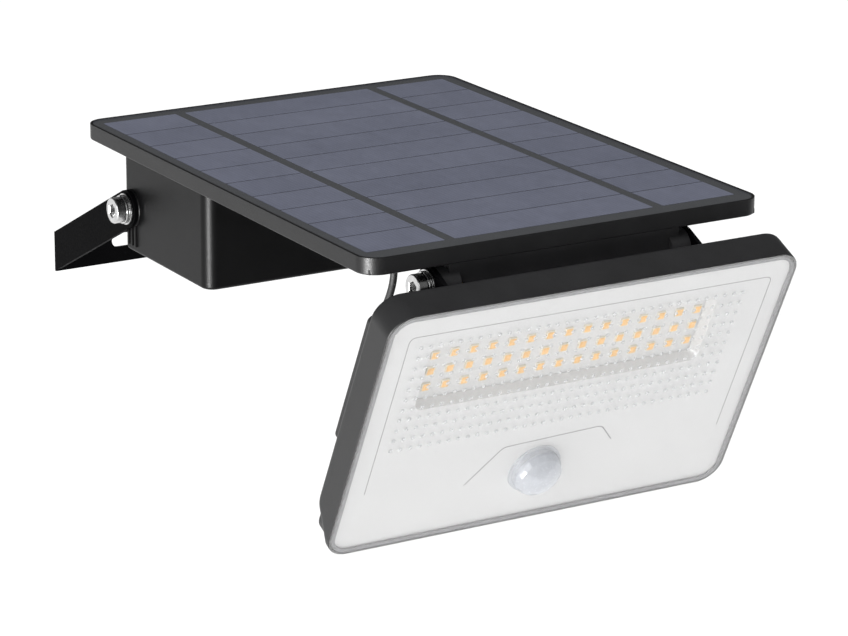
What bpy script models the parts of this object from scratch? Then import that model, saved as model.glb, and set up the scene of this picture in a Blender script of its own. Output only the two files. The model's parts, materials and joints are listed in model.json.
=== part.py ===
"""Solar flood light: a panel with a battery box, a wall bracket and a tilting lamp head.

World frame: X runs along the width, +Y points into the wall, +Z is up. The origin is the
centre of the wall bracket's back face. Every length is in metres.

Three empties carry the pieces: panel_tilt_axis (the wall bracket's pivot), panel_datum (the
middle of the panel's front top edge, turning with it) and head_tilt_axis (the lamp's pivot,
leaning by HEAD_TILT). A moving piece is modelled about the empty that it hangs from.
"""

import math

import bmesh
import bpy
from mathutils import Matrix, Vector

MM = 0.001
GAP = 0.3 * MM                     # space left between two pieces that touch

# Solar panel
PANEL_WIDTH = 210 * MM
PANEL_DEPTH = 283 * MM
PANEL_THICKNESS = 8 * MM
PANEL_CORNER = 10 * MM
PANEL_LIP = 1.2 * MM               # thin rim round the laminate
LAMINATE_SEAT_DEPTH = 1.7 * MM
LAMINATE_LEDGE = 6 * MM
WIRE_SPACE_DEPTH = 2.3 * MM
WIRE_WINDOW_WIDTH = 30 * MM
WIRE_WINDOW_DEPTH = 12 * MM
PANEL_RIM_WALL = 2.5 * MM
UNDERSIDE_RELIEF = 2.2 * MM
UNDERSIDE_RIB = 2 * MM
UNDERSIDE_COLUMNS = 3
UNDERSIDE_ROWS = 3
BACKSHEET_THICKNESS = 0.6 * MM
CELL_THICKNESS = 0.2 * MM
GLAZING_THICKNESS = 0.25 * MM
CELL_ROWS = 10
CELL_FIELD_FRONT = 12.4 * MM       # front edge of the cells, from the panel's front
CELL_FIELD_DEPTH = 263 * MM
CELL_FIELD_WIDTH = 195.6 * MM
CELL_CENTRE_WIDTH = 105.3 * MM       # middle column of cells
CELL_COLUMN_GAP = 5.3 * MM
CELL_ROW_GAP = 0.9 * MM

# Battery box
BOX_WIDTH = 180 * MM
BOX_DEPTH = 91.5 * MM
BOX_HEIGHT = 56 * MM               # from the panel's underside to the box's bottom
BOX_CORNER = 6.5 * MM
BOX_BOTTOM_CHAMFER = 1.6 * MM
BOX_WALL = 2.5 * MM
BOX_REAR_INSET = 11.5 * MM         # panel overhang behind the box
GASKET_THICKNESS = 0.6 * MM
GASKET_WIDTH = 1.5 * MM
GASKET_INSET = 0.5 * MM
PAD_RADIUS = 9.5 * MM
PAD_PROUD = 1 * MM
SIDE_RIBS = 3
SIDE_RIB_WIDTH = 1.8 * MM
SIDE_RIB_PITCH = 3.8 * MM
COLUMN_RADIUS = 4 * MM             # screw columns in the box's corners
COLUMN_PITCH_X = 160 * MM
COLUMN_PITCH_Y = 60 * MM
PILOT_RADIUS = 1.3 * MM
PILOT_DEPTH = 10 * MM

# Battery pack and electronics
CELL_DIAMETER = 18.4 * MM
CELL_LENGTH = 65 * MM
CELL_NUB_RADIUS = 3 * MM
CELL_NUB_HEIGHT = 1 * MM
BATTERY_CELLS = 4
BATTERY_PITCH = 19.2 * MM
HOLDER_FLOOR = 1.2 * MM
HOLDER_HEIGHT = 7 * MM
HOLDER_END_MARGIN = 2.5 * MM
HOLDER_SIDE_MARGIN = 1 * MM
HOLDER_CLEARANCE = 0.6 * MM        # from the left pivot's boss
BOARD_CENTRE_X = 46 * MM
BOARD_SIZE = 58 * MM
BOARD_THICKNESS = 1.6 * MM
BOARD_LIFT = 13 * MM               # board's underside above the box's floor
POST_RADIUS = 3 * MM
CHIP_HEIGHT = 3.5 * MM
SWITCH_SIZE = 6 * MM
SWITCH_HEIGHT = 3.6 * MM
BUTTON_RADIUS = 6 * MM
BUTTON_CLEARANCE = 0.35 * MM
BUTTON_PROUD = 1.2 * MM
BUTTON_FLANGE_RADIUS = 7.5 * MM
BUTTON_FLANGE_THICKNESS = 1.2 * MM
BUTTON_STEM_RADIUS = 2 * MM
BUTTON_TRAVEL = 0.8 * MM
BUTTON_EDGE = 0.8 * MM
PLUNGER_RADIUS = 1.6 * MM
PLUNGER_PROUD = 1 * MM
BUTTON_FROM_BOARD_X = 10 * MM

# Pivots and their M8 fasteners
REAR_PIVOT_FROM_WALL = 87.2 * MM
REAR_PIVOT_HEIGHT = 43.9 * MM      # above the middle of the wall plate
REAR_PIVOT_FROM_BOX_BACK = 11.5 * MM
REAR_PIVOT_DROP = 41.4 * MM        # below the panel's top
HEAD_PIVOT_INSET = 9.5 * MM        # behind the panel's front edge
HEAD_PIVOT_DROP = 19.6 * MM
HEAD_TILT = math.radians(25.4)
SHANK_RADIUS = 4 * MM
SHANK_LENGTH = 16 * MM
SHANK_CLEARANCE = 0.3 * MM
SCREW_HEAD_RADIUS = 6.5 * MM
SCREW_HEAD_HEIGHT = 4.6 * MM
HEX_ACROSS_FLATS = 6 * MM
HEX_DEPTH = 3 * MM
SPRING_WASHER_RADIUS = 7.2 * MM
SPRING_WASHER_THICKNESS = 1.6 * MM
SPRING_WASHER_SLIT = 1.2 * MM
FLAT_WASHER_RADIUS = 7.9 * MM
FLAT_WASHER_THICKNESS = 1.2 * MM
STACK_GAP = 0.2 * MM               # between the fasteners of one stack
INSERT_RADIUS = 5.4 * MM
INSERT_LENGTH = 12 * MM
BOSS_WALL = 2 * MM
PIN_HEAD_RADIUS = 6 * MM
PIN_HEAD_THICKNESS = 1.4 * MM

# Brackets, both bent from the same strip
STRIP_WIDTH = 18.8 * MM
STRIP_THICKNESS = 2 * MM
BEND_RADIUS = 0.6 * MM             # outside of each bend
SLOT_HEIGHT = 7.5 * MM
SLOT_LENGTH = 26 * MM
SLOT_RISE = 1.2 * MM
SLOT_OUTER_END = 61 * MM           # from the middle of the wall plate
BRACKET_SCREW_OFFSETS = (-50 * MM, -20 * MM, 20 * MM, 50 * MM)

# Hinge block under the panel's front edge
BLOCK_WIDTH = 122 * MM
BLOCK_FRONT_INSET = 4 * MM
BLOCK_DEPTH = 19 * MM
BLOCK_HEIGHT = 20 * MM
BLOCK_ROUND = 4 * MM
LUG_RADIUS = 8.5 * MM
LUG_LENGTH = 5.1 * MM
LUG_ROOT = 5 * MM                  # how far a lug runs into the block
PIVOT_BORE_DEPTH = 20 * MM
BLOCK_SCREW_OFFSETS = (-44 * MM, 44 * MM)

# Small screws
SMALL_HEAD_RADIUS = 2.9 * MM
SMALL_HEAD_HEIGHT = 1.3 * MM
SMALL_SHANK_RADIUS = 1.1 * MM
SMALL_SHANK_LENGTH = 10 * MM
SMALL_CLEARANCE = 0.4 * MM
PAN_HEAD_RADIUS = 3.6 * MM
PAN_HEAD_HEIGHT = 2.2 * MM
PAN_SHANK_RADIUS = 1.7 * MM
PAN_SHANK_LENGTH = 7 * MM

# Lamp head
HEAD_WIDTH = 216 * MM
HEAD_HEIGHT = 143 * MM
HEAD_DEPTH = 17 * MM
HEAD_CORNER = 12 * MM
HEAD_WALL = 2.2 * MM
HEAD_LIP = 1.2 * MM
HEAD_BACK_ROUND = 3 * MM
HEAD_BOTTOM_SLOPE = 14 * MM        # how far the bottom leans in towards the back
PIVOT_TO_FACE = 33.4 * MM
PIVOT_BELOW_HEAD_TOP = 16.5 * MM
PLATFORM_DEPTH = 4.5 * MM
PLATFORM_TOP = 16 * MM             # below the head's top edge
PLATFORM_HEIGHT = 72 * MM
PLATFORM_SIDE_INSET = 3 * MM
PLATFORM_CORNER = 3 * MM
STRAP_CLEARANCE = 1.8 * MM         # round the head bracket's strap
REFLECTOR_THICKNESS = 1.2 * MM
REFLECTOR_SETBACK = 1 * MM         # behind the housing's rim
SEAL_WIDTH = 1.8 * MM
LENS_THICKNESS = 2.5 * MM
LENS_BEVEL = 0.8 * MM
LENS_INSET = 0.25 * MM
LIGHT_CENTRE_X = -6.5 * MM         # lamps and sensor sit left of the middle
LED_COLUMNS = 15
LED_ROWS = 3
LED_PITCH_X = 9.93 * MM
LED_PITCH_Z = 9.28 * MM
LED_WIDTH = 4.2 * MM
LED_LENGTH = 4.6 * MM
LED_THICKNESS = 0.8 * MM
LED_FIELD_DROP = 40.4 * MM         # middle row below the head's top edge
LED_BOARD_DEPTH = 5.8 * MM         # board's face behind the housing's rim
LED_BOARD_THICKNESS = 1.6 * MM
WELL_MARGIN_X = 3.4 * MM           # from the outer lamps to the well's floor edge
WELL_MARGIN_Z = 7 * MM
WELL_DRAFT = 2.6 * MM
BOARD_MARGIN = 8 * MM              # board's edge outside the well's floor
BOARD_BOSS_RADIUS = 3.5 * MM
STRAP_BOSS_LENGTH = 5 * MM

# Motion sensor
SENSOR_X = -4.6 * MM
SENSOR_DROP = 110.9 * MM           # below the head's top edge
DOME_RADIUS = 12.1 * MM
DOME_RISE = 7.6 * MM               # dome's top before the cover's face
DOME_WALL = 0.9 * MM
DOME_FLANGE = 1.6 * MM
DOME_CLEARANCE = 0.4 * MM
CAN_RADIUS = 4.6 * MM
CAN_HEIGHT = 4 * MM
SENSOR_BOARD_SIZE = 26 * MM
SENSOR_BOSS_RADIUS = 2.5 * MM
SENSOR_BOSS_INSET = 3 * MM

# Lamp lead
LEAD_DIAMETER = 3.3 * MM
LEAD_X = -85.8 * MM
LEAD_BEND = 8.5 * MM
LEAD_DROOP = 0.35                  # share of its span that the lead first drops straight down
PANEL_GLAND_FROM_FRONT = 9.5 * MM
PANEL_GLAND_RADIUS = 4.2 * MM
PANEL_GLAND_LENGTH = 3.4 * MM
HEAD_GLAND_DROP = 42 * MM          # below the head's top edge
HEAD_GLAND_RADIUS = 4.6 * MM
HEAD_GLAND_LENGTH = 7 * MM
GLAND_TIP_RADIUS = 2.6 * MM

# Places that follow from the sizes above
BOX_BACK = PANEL_DEPTH - BOX_REAR_INSET
BOX_FRONT = BOX_BACK - BOX_DEPTH
BOX_MIDDLE = (BOX_BACK + BOX_FRONT) / 2
BOX_TOP = -PANEL_THICKNESS - GASKET_THICKNESS - 2 * GAP
BOX_BOTTOM = -PANEL_THICKNESS - BOX_HEIGHT
BOX_FLOOR = BOX_BOTTOM + BOX_WALL
REAR_PIVOT_Y = BOX_BACK - REAR_PIVOT_FROM_BOX_BACK
WALL_ARM_INNER = BOX_WIDTH / 2 + PAD_PROUD + GAP
HEAD_ARM_INNER = BLOCK_WIDTH / 2 + LUG_LENGTH + GAP
HEAD_FACE = -PIVOT_TO_FACE
HEAD_BACK = HEAD_FACE + HEAD_DEPTH
HEAD_TOP = PIVOT_BELOW_HEAD_TOP
HEAD_BOTTOM = HEAD_TOP - HEAD_HEIGHT
HEAD_MIDDLE = (HEAD_TOP + HEAD_BOTTOM) / 2
STRAP_FACE = HEAD_BACK + GAP       # the strap's side that meets the housing
REFLECTOR_FACE = HEAD_FACE + REFLECTOR_SETBACK
REFLECTOR_BACK = REFLECTOR_FACE + REFLECTOR_THICKNESS
LENS_BACK = HEAD_FACE - GAP
LENS_FACE = LENS_BACK - LENS_THICKNESS
LED_FACE = HEAD_FACE + LED_BOARD_DEPTH
LED_MIDDLE_Z = HEAD_TOP - LED_FIELD_DROP
LED_HALF_X = (LED_COLUMNS - 1) / 2 * LED_PITCH_X
LED_HALF_Z = (LED_ROWS - 1) / 2 * LED_PITCH_Z
LED_SCREW_REACH = LED_HALF_X + WELL_MARGIN_X + BOARD_MARGIN - SMALL_HEAD_RADIUS
LED_SCREW_PLACES = (LIGHT_CENTRE_X - LED_SCREW_REACH, LIGHT_CENTRE_X + LED_SCREW_REACH)
SENSOR_Z = HEAD_TOP - SENSOR_DROP
SENSOR_OPENING = DOME_RADIUS + DOME_CLEARANCE
BUTTON_X = BOARD_CENTRE_X + BUTTON_FROM_BOARD_X
HOLDER_HALF_WIDTH = BATTERY_CELLS * BATTERY_PITCH / 2 + HOLDER_SIDE_MARGIN
BOSS_END = BOX_WIDTH / 2 + PAD_PROUD - INSERT_LENGTH - 2 * BOSS_WALL
BATTERY_CENTRE_X = -BOSS_END + HOLDER_CLEARANCE + HOLDER_HALF_WIDTH

ARC = 5                            # segments in a quarter round of an outline
ROUND = 20                         # sides of a turned piece
FINE = 12                          # sides of a small screw


# ---------------------------------------------------------------- shapes

def rounded_outline(x0, x1, y0, y1, radius, steps=ARC):
    """Points of a rectangle with round corners, counter-clockwise."""
    corners = (
        (x1 - radius, y0 + radius, -90),
        (x1 - radius, y1 - radius, 0),
        (x0 + radius, y1 - radius, 90),
        (x0 + radius, y0 + radius, 180),
    )
    points = []
    for cx, cy, start in corners:
        for i in range(steps + 1):
            a = math.radians(start + 90 * i / steps)
            points.append((cx + radius * math.cos(a), cy + radius * math.sin(a)))
    return points


def circle_outline(cx, cy, radius, sides=ROUND):
    """Points of a circle, counter-clockwise."""
    turn = 2 * math.pi / sides
    return [
        (cx + radius * math.cos((i + 0.5) * turn), cy + radius * math.sin((i + 0.5) * turn))
        for i in range(sides)
    ]


def place(axis, u, v, w):
    """Put outline coordinates u, v and height w along a world axis."""
    if axis == "x":
        return (w, u, v)
    if axis == "y":
        return (-u, w, v)
    return (u, v, w)


def loft(bm, loops, axis="z", closed_ends=True):
    """Join outlines of equal count, given as (points, height), from low to high."""
    rings = [[bm.verts.new(place(axis, u, v, w)) for u, v in points] for points, w in loops]
    count = len(rings[0])
    for low, high in zip(rings, rings[1:]):
        for i in range(count):
            j = (i + 1) % count
            bm.faces.new((low[i], low[j], high[j], high[i]))
    if closed_ends:
        bm.faces.new(list(reversed(rings[0])))
        bm.faces.new(rings[-1])
    return rings


def mesh_of(name, build):
    """Run build on an empty bmesh and return the mesh, its faces pointing out."""
    bm = bmesh.new()
    build(bm)
    bmesh.ops.recalc_face_normals(bm, faces=bm.faces[:])
    mesh = bpy.data.meshes.new(name)
    bm.to_mesh(mesh)
    bm.free()
    return mesh


def prism_mesh(name, points, low, high, axis="z"):
    """A straight prism of an outline."""
    return mesh_of(name, lambda bm: loft(bm, [(points, low), (points, high)], axis))


def turned_mesh(name, profile, axis="z", sides=ROUND, centre=(0, 0)):
    """A solid of revolution: profile is (radius, height) from low to high, round an axis."""
    loops = [(circle_outline(centre[0], centre[1], r, sides), h) for r, h in profile]
    return mesh_of(name, lambda bm: loft(bm, loops, axis))


def stepped_mesh(name, xs, zs, raised, base, flat, top):
    """A board seen from its raised side: a grid of squares, some standing up to top."""

    def build(bm):
        verts = {}

        def vert(x, z, y):
            key = (round(x, 7), round(z, 7), round(y, 7))
            if key not in verts:
                verts[key] = bm.verts.new((x, y, z))
            return verts[key]

        def level(i, j):
            return top if raised(i, j) else flat

        for i, (x0, x1) in enumerate(zip(xs, xs[1:])):
            for j, (z0, z1) in enumerate(zip(zs, zs[1:])):
                y = level(i, j)
                bm.faces.new([vert(x0, z0, y), vert(x1, z0, y), vert(x1, z1, y), vert(x0, z1, y)])
                if not raised(i, j):
                    continue
                corners = [(x0, z0), (x1, z0), (x1, z1), (x0, z1)]
                for (xa, za), (xb, zb) in zip(corners, corners[1:] + corners[:1]):
                    side = [vert(xa, za, flat), vert(xb, zb, flat), vert(xb, zb, top), vert(xa, za, top)]
                    bm.faces.new(side)
        rim = [(x, zs[0]) for x in xs]
        rim += [(xs[-1], z) for z in zs[1:]]
        rim += [(x, zs[-1]) for x in reversed(xs[:-1])]
        rim += [(xs[0], z) for z in reversed(zs[1:-1])]
        corner_keys = [(xs[0], zs[0]), (xs[-1], zs[0]), (xs[-1], zs[-1]), (xs[0], zs[-1])]
        for (xa, za), (xb, zb) in zip(corner_keys, corner_keys[1:] + corner_keys[:1]):
            run = run_between(rim, (xa, za), (xb, zb))
            face = [vert(x, z, flat) for x, z in run]
            face += [vert(xb, zb, base), vert(xa, za, base)]
            bm.faces.new(face)
        bm.faces.new([vert(x, z, base) for x, z in corner_keys])

    return mesh_of(name, build)


def run_between(rim, first, last):
    """The part of a closed rim from one corner to the next."""
    start = rim.index(first)
    run = [rim[start]]
    step = start
    while run[-1] != last:
        step = (step + 1) % len(rim)
        run.append(rim[step])
    return run


def bands(centres, width, low, high):
    """Grid lines for a row of equal bands, with the field's two ends."""
    lines = [low]
    for c in centres:
        lines += [c - width / 2, c + width / 2]
    return lines + [high]


# ---------------------------------------------------------------- objects

def material(name, colour, roughness, metallic=0.0, alpha=1.0):
    """A Principled material."""
    mat = bpy.data.materials.get(name) or bpy.data.materials.new(name)
    mat.use_nodes = True
    shader = mat.node_tree.nodes["Principled BSDF"]
    shader.inputs["Base Color"].default_value = (*colour, 1.0)
    shader.inputs["Roughness"].default_value = roughness
    shader.inputs["Metallic"].default_value = metallic
    shader.inputs["Alpha"].default_value = alpha
    mat.diffuse_color = (*colour, alpha)
    return mat


def add(name, mesh, parent, mat, location=(0, 0, 0)):
    """A named object under an empty."""
    obj = bpy.data.objects.new(name, mesh)
    bpy.context.scene.collection.objects.link(obj)
    obj.parent = parent
    obj.location = location
    obj.data.materials.clear()
    obj.data.materials.append(mat)
    mesh.shade_smooth()
    mesh.set_sharp_from_angle(angle=math.radians(35))
    return obj


def empty(name, parent, location, tilt=0.0):
    """An empty that carries pieces."""
    obj = bpy.data.objects.new(name, None)
    bpy.context.scene.collection.objects.link(obj)
    obj.parent = parent
    obj.location = location
    obj.rotation_euler = (tilt, 0, 0)
    return obj


def boolean(obj, meshes, operation):
    """Cut or join meshes, given in the object's own frame, one after another."""
    for i, mesh in enumerate(meshes):
        tool = bpy.data.objects.new(f"{obj.name}_{operation.lower()}_{i}", mesh)
        bpy.context.scene.collection.objects.link(tool)
        tool.parent = obj
        tool.hide_render = True
        tool.display_type = "WIRE"
        modifier = obj.modifiers.new(f"{operation.lower()}_{i}", "BOOLEAN")
        modifier.operation = operation
        modifier.solver = "EXACT"
        modifier.object = tool


def cut(obj, meshes):
    """Take meshes away from an object."""
    boolean(obj, meshes, "DIFFERENCE")


def join(obj, meshes):
    """Add meshes to an object."""
    boolean(obj, meshes, "UNION")


# ---------------------------------------------------------------- fasteners

def hex_outline(across_flats):
    """A hexagon for a key socket."""
    return circle_outline(0, 0, across_flats / math.sqrt(3), 6)


def socket_screw(name, parent, mat, y, z, side, start):
    """An M8 socket screw along X whose head's underside is at start on the given side."""
    face = SCREW_HEAD_HEIGHT
    rim = 0.5 * MM
    profile = [
        (SHANK_RADIUS, -SHANK_LENGTH),
        (SHANK_RADIUS, 0),
        (SCREW_HEAD_RADIUS, 0),
        (SCREW_HEAD_RADIUS, face - rim),
        (SCREW_HEAD_RADIUS - rim, face),
    ]
    mesh = turned_mesh(name, profile, "x")
    mesh.transform(Matrix.Scale(side, 4, Vector((1, 0, 0))))
    if side < 0:
        mesh.flip_normals()
    screw = add(name, mesh, parent, mat, (side * start, y, z))
    socket = prism_mesh(name + "_socket", hex_outline(HEX_ACROSS_FLATS), face - HEX_DEPTH, face + MM, "x")
    socket.transform(Matrix.Scale(side, 4, Vector((1, 0, 0))))
    if side < 0:
        socket.flip_normals()
    cut(screw, [socket])


def ring_mesh(name, outer, inner, low, high, axis="x", sides=ROUND, slit=0.0):
    """A washer, with a slit when it is a spring washer."""

    def build(bm):
        if slit:
            span = 2 * math.pi - slit / outer
            angles = [slit / outer / 2 + span * i / sides for i in range(sides + 1)]
        else:
            angles = [2 * math.pi * i / sides for i in range(sides)]
        sections = []
        for a in angles:
            section = []
            for radius, height in ((inner, low), (outer, low), (outer, high), (inner, high)):
                corner = place(axis, radius * math.cos(a), radius * math.sin(a), height)
                section.append(bm.verts.new(corner))
            sections.append(section)
        pairs = list(zip(sections, sections[1:]))
        if not slit:
            pairs.append((sections[-1], sections[0]))
        for a, b in pairs:
            for k in range(4):
                n = (k + 1) % 4
                bm.faces.new((a[k], a[n], b[n], b[k]))
        if slit:
            bm.faces.new(sections[0])
            bm.faces.new(list(reversed(sections[-1])))

    return mesh_of(name, build)


def washer(name, parent, mat, y, z, side, start, spring):
    """A flat or spring washer on a pivot screw, starting at a distance from the middle."""
    radius = SPRING_WASHER_RADIUS if spring else FLAT_WASHER_RADIUS
    thickness = SPRING_WASHER_THICKNESS if spring else FLAT_WASHER_THICKNESS
    slit = SPRING_WASHER_SLIT if spring else 0.0
    low, high = sorted((0, side * thickness))
    mesh = ring_mesh(name, radius, SHANK_RADIUS + SHANK_CLEARANCE, low, high, "x", ROUND, slit)
    add(name, mesh, parent, mat, (side * start, y, z))


def pivot_fasteners(prefix, parent, y, z, side, arm_outer):
    """Flat washer, spring washer and screw outside an arm."""
    steel = material("stainless", (0.62, 0.62, 0.60), 0.25, 1.0)
    at = arm_outer + STACK_GAP
    washer(prefix + "_flat_washer", parent, steel, y, z, side, at, False)
    at += FLAT_WASHER_THICKNESS + STACK_GAP
    washer(prefix + "_spring_washer", parent, steel, y, z, side, at, True)
    at += SPRING_WASHER_THICKNESS + STACK_GAP
    socket_screw(prefix + "_screw", parent, steel, y, z, side, at)


def threaded_insert(name, parent, y, z, side, mouth):
    """A brass insert whose mouth is just inside a pivot face."""
    brass = material("brass", (0.72, 0.55, 0.26), 0.35, 1.0)
    ends = sorted((side * (mouth - GAP), side * (mouth - GAP - INSERT_LENGTH)))
    mesh = ring_mesh(name, INSERT_RADIUS, SHANK_RADIUS + SHANK_CLEARANCE, ends[0], ends[1])
    add(name, mesh, parent, brass, (0, y, z))


def small_screw(name, parent, mat, top, head_radius, head_height, shank_radius, shank_length, axis):
    """A small screw with its head's underside at top, pointing down its axis."""
    profile = [(shank_radius, -shank_length), (shank_radius, 0), (head_radius, 0)]
    profile += [(head_radius, head_height * 0.6), (head_radius * 0.75, head_height)]
    add(name, turned_mesh(name, profile, axis, FINE), parent, mat, top)


# ---------------------------------------------------------------- brackets

def arm_outline(pivot_y, pivot_z, wall_y, wall_half):
    """An arm from its round end about the pivot to the bend, in y and z."""
    slope = math.atan2(-pivot_z, wall_y - pivot_y)
    radius = STRIP_WIDTH / 2
    points = []
    for i in range(2 * ARC + 1):
        a = slope + math.pi / 2 + math.pi * i / (2 * ARC)
        points.append((pivot_y + radius * math.cos(a), pivot_z + radius * math.sin(a)))
    points += [(wall_y, -wall_half), (wall_y, wall_half)]
    return points


def slot_mesh(name, x0, x1, z0, z1, y0, y1):
    """A round-ended slot cutter along X through a plate."""
    radius = (z1 - z0) / 2
    return prism_mesh(name, rounded_outline(x0, x1, z0, z1, radius), y0, y1, "y")


def u_bracket(name, parent, mat, inner, pivot, plate_face, plate_half, towards):
    """A strip bent into a plate and two arms with round, drilled ends.

    pivot is (y, z); plate_face is the plate's outer face and towards says on which side of it
    the arms stand (-1 or 1 along Y).
    """
    plate_inner = plate_face + towards * STRIP_THICKNESS
    outer = inner + STRIP_THICKNESS
    y0, y1 = sorted((plate_face, plate_inner))
    plate = rounded_outline(-outer, outer, y0, y1, BEND_RADIUS, 2)
    bracket = add(name, prism_mesh(name, plate, -plate_half, plate_half), parent, mat)
    arms = []
    for side in (-1, 1):
        low, high = sorted((side * inner, side * outer))
        if towards < 0:
            outline = arm_outline(pivot[0], pivot[1], plate_face - BEND_RADIUS, plate_half)
        else:
            outline = mirrored_arm(pivot, plate_face + BEND_RADIUS, plate_half)
        arms.append(prism_mesh(f"{name}_arm", outline, low, high, "x"))
    join(bracket, arms)
    bores = []
    for side in (-1, 1):
        low, high = sorted((side * (inner - MM), side * (outer + MM)))
        hole = circle_outline(pivot[0], pivot[1], SHANK_RADIUS + SHANK_CLEARANCE)
        bores.append(prism_mesh(f"{name}_bore", hole, low, high, "x"))
    cut(bracket, bores)
    return bracket


def mirrored_arm(pivot, plate_y, plate_half):
    """The arm outline for a bracket whose plate lies towards -Y of the pivot."""
    points = arm_outline(-pivot[0], pivot[1], -plate_y, plate_half)
    return [(-y, z) for y, z in reversed(points)]


def make_wall_bracket(root):
    """The steel bracket that is screwed to the wall."""
    steel = material("black_steel", (0.012, 0.012, 0.013), 0.5)
    slope = math.atan2(REAR_PIVOT_HEIGHT, REAR_PIVOT_FROM_WALL)
    half = STRIP_WIDTH / 2 / math.cos(slope)
    pivot = (-REAR_PIVOT_FROM_WALL, REAR_PIVOT_HEIGHT)
    bracket = u_bracket("wall_bracket", root, steel, WALL_ARM_INNER, pivot, 0.0, half, -1)
    slots = []
    for side in (-1, 1):
        ends = sorted((side * SLOT_OUTER_END, side * (SLOT_OUTER_END - SLOT_LENGTH)))
        low = SLOT_RISE - SLOT_HEIGHT / 2
        high = SLOT_RISE + SLOT_HEIGHT / 2
        slots.append(slot_mesh("wall_slot", ends[0], ends[1], low, high, -STRIP_THICKNESS - MM, MM))
    cut(bracket, slots)


def make_head_bracket(head):
    """The strap that carries the lamp head on the hinge block."""
    steel = material("black_steel", (0.012, 0.012, 0.013), 0.5)
    half = STRIP_WIDTH / 2
    bracket = u_bracket("head_bracket", head, steel, HEAD_ARM_INNER, (0, 0), STRAP_FACE, half, 1)
    holes = []
    radius = PAN_SHANK_RADIUS + SMALL_CLEARANCE
    for x in BRACKET_SCREW_OFFSETS:
        hole = circle_outline(-x, 0, radius, FINE)
        holes.append(prism_mesh("strap_hole", hole, STRAP_FACE - MM, STRAP_FACE + STRIP_THICKNESS + MM, "y"))
    cut(bracket, holes)


# ---------------------------------------------------------------- solar panel

def underside_pockets():
    """Pockets between the ribs of the panel frame's underside, ahead of the box."""
    x0 = -PANEL_WIDTH / 2 + PANEL_RIM_WALL
    x1 = PANEL_WIDTH / 2 - PANEL_RIM_WALL
    y0 = BLOCK_FRONT_INSET + BLOCK_DEPTH + UNDERSIDE_RIB
    y1 = BOX_FRONT - UNDERSIDE_RIB
    step_x = (x1 - x0 + UNDERSIDE_RIB) / UNDERSIDE_COLUMNS
    step_y = (y1 - y0 + UNDERSIDE_RIB) / UNDERSIDE_ROWS
    pockets = []
    for i in range(UNDERSIDE_COLUMNS):
        for j in range(UNDERSIDE_ROWS):
            ax = x0 + i * step_x
            ay = y0 + j * step_y
            outline = rounded_outline(ax, ax + step_x - UNDERSIDE_RIB, ay, ay + step_y - UNDERSIDE_RIB, 2 * MM, 2)
            top = -PANEL_THICKNESS + UNDERSIDE_RELIEF
            pockets.append(prism_mesh("frame_pocket", outline, -PANEL_THICKNESS - MM, top))
    return pockets


def box_screw_places():
    """The corner screws that hold the box up under the panel frame."""
    for sx in (-1, 1):
        for sy in (-1, 1):
            yield sx * COLUMN_PITCH_X / 2, BOX_MIDDLE + (sy * COLUMN_PITCH_Y - REAR_PIVOT_FROM_BOX_BACK) / 2


def inset_outline(inset, radius):
    """The panel's outline moved in by inset."""
    half = PANEL_WIDTH / 2 - inset
    return rounded_outline(-half, half, inset, PANEL_DEPTH - inset, radius)


def make_panel_frame(datum):
    """The moulded tray that holds the solar laminate."""
    black = material("frame_plastic", (0.045, 0.045, 0.045), 0.5)
    edge = 0.8 * MM
    loops = [
        (inset_outline(edge, PANEL_CORNER - edge), -PANEL_THICKNESS),
        (inset_outline(0, PANEL_CORNER), -PANEL_THICKNESS + edge),
        (inset_outline(0, PANEL_CORNER), -edge / 2),
        (inset_outline(edge / 2, PANEL_CORNER - edge / 2), 0),
    ]
    frame = add("panel_frame", mesh_of("panel_frame", lambda bm: loft(bm, loops)), datum, black)
    seat = prism_mesh("seat", inset_outline(PANEL_LIP, PANEL_CORNER - PANEL_LIP), -LAMINATE_SEAT_DEPTH, MM)
    ledge = PANEL_LIP + LAMINATE_LEDGE
    floor = -LAMINATE_SEAT_DEPTH - WIRE_SPACE_DEPTH
    space = prism_mesh("wire_space", inset_outline(ledge, 3 * MM), floor, -LAMINATE_SEAT_DEPTH / 2)
    cuts = [seat, space]
    cuts += underside_pockets()
    wire_y = BOX_FRONT + 4 * COLUMN_RADIUS
    half = WIRE_WINDOW_WIDTH / 2
    window = rounded_outline(-half, half, wire_y, wire_y + WIRE_WINDOW_DEPTH, 2 * MM, 2)
    cuts.append(prism_mesh("wire_window", window, -PANEL_THICKNESS - MM, floor + MM))
    radius = SMALL_SHANK_RADIUS + SMALL_CLEARANCE
    for x, y in list(box_screw_places()) + list(block_screw_places()):
        hole = circle_outline(x, y, radius, FINE)
        cuts.append(prism_mesh("frame_hole", hole, -PANEL_THICKNESS - MM, floor + MM))
    nose = circle_outline(LEAD_X, PANEL_GLAND_FROM_FRONT, PANEL_GLAND_RADIUS + GAP)
    cuts.append(prism_mesh("gland_seat", nose, -PANEL_THICKNESS - MM, -PANEL_THICKNESS + UNDERSIDE_RELIEF))
    bore = circle_outline(LEAD_X, PANEL_GLAND_FROM_FRONT, LEAD_DIAMETER / 2)
    cuts.append(prism_mesh("gland_bore", bore, -PANEL_THICKNESS - MM, floor + MM))
    cut(frame, cuts)


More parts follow.
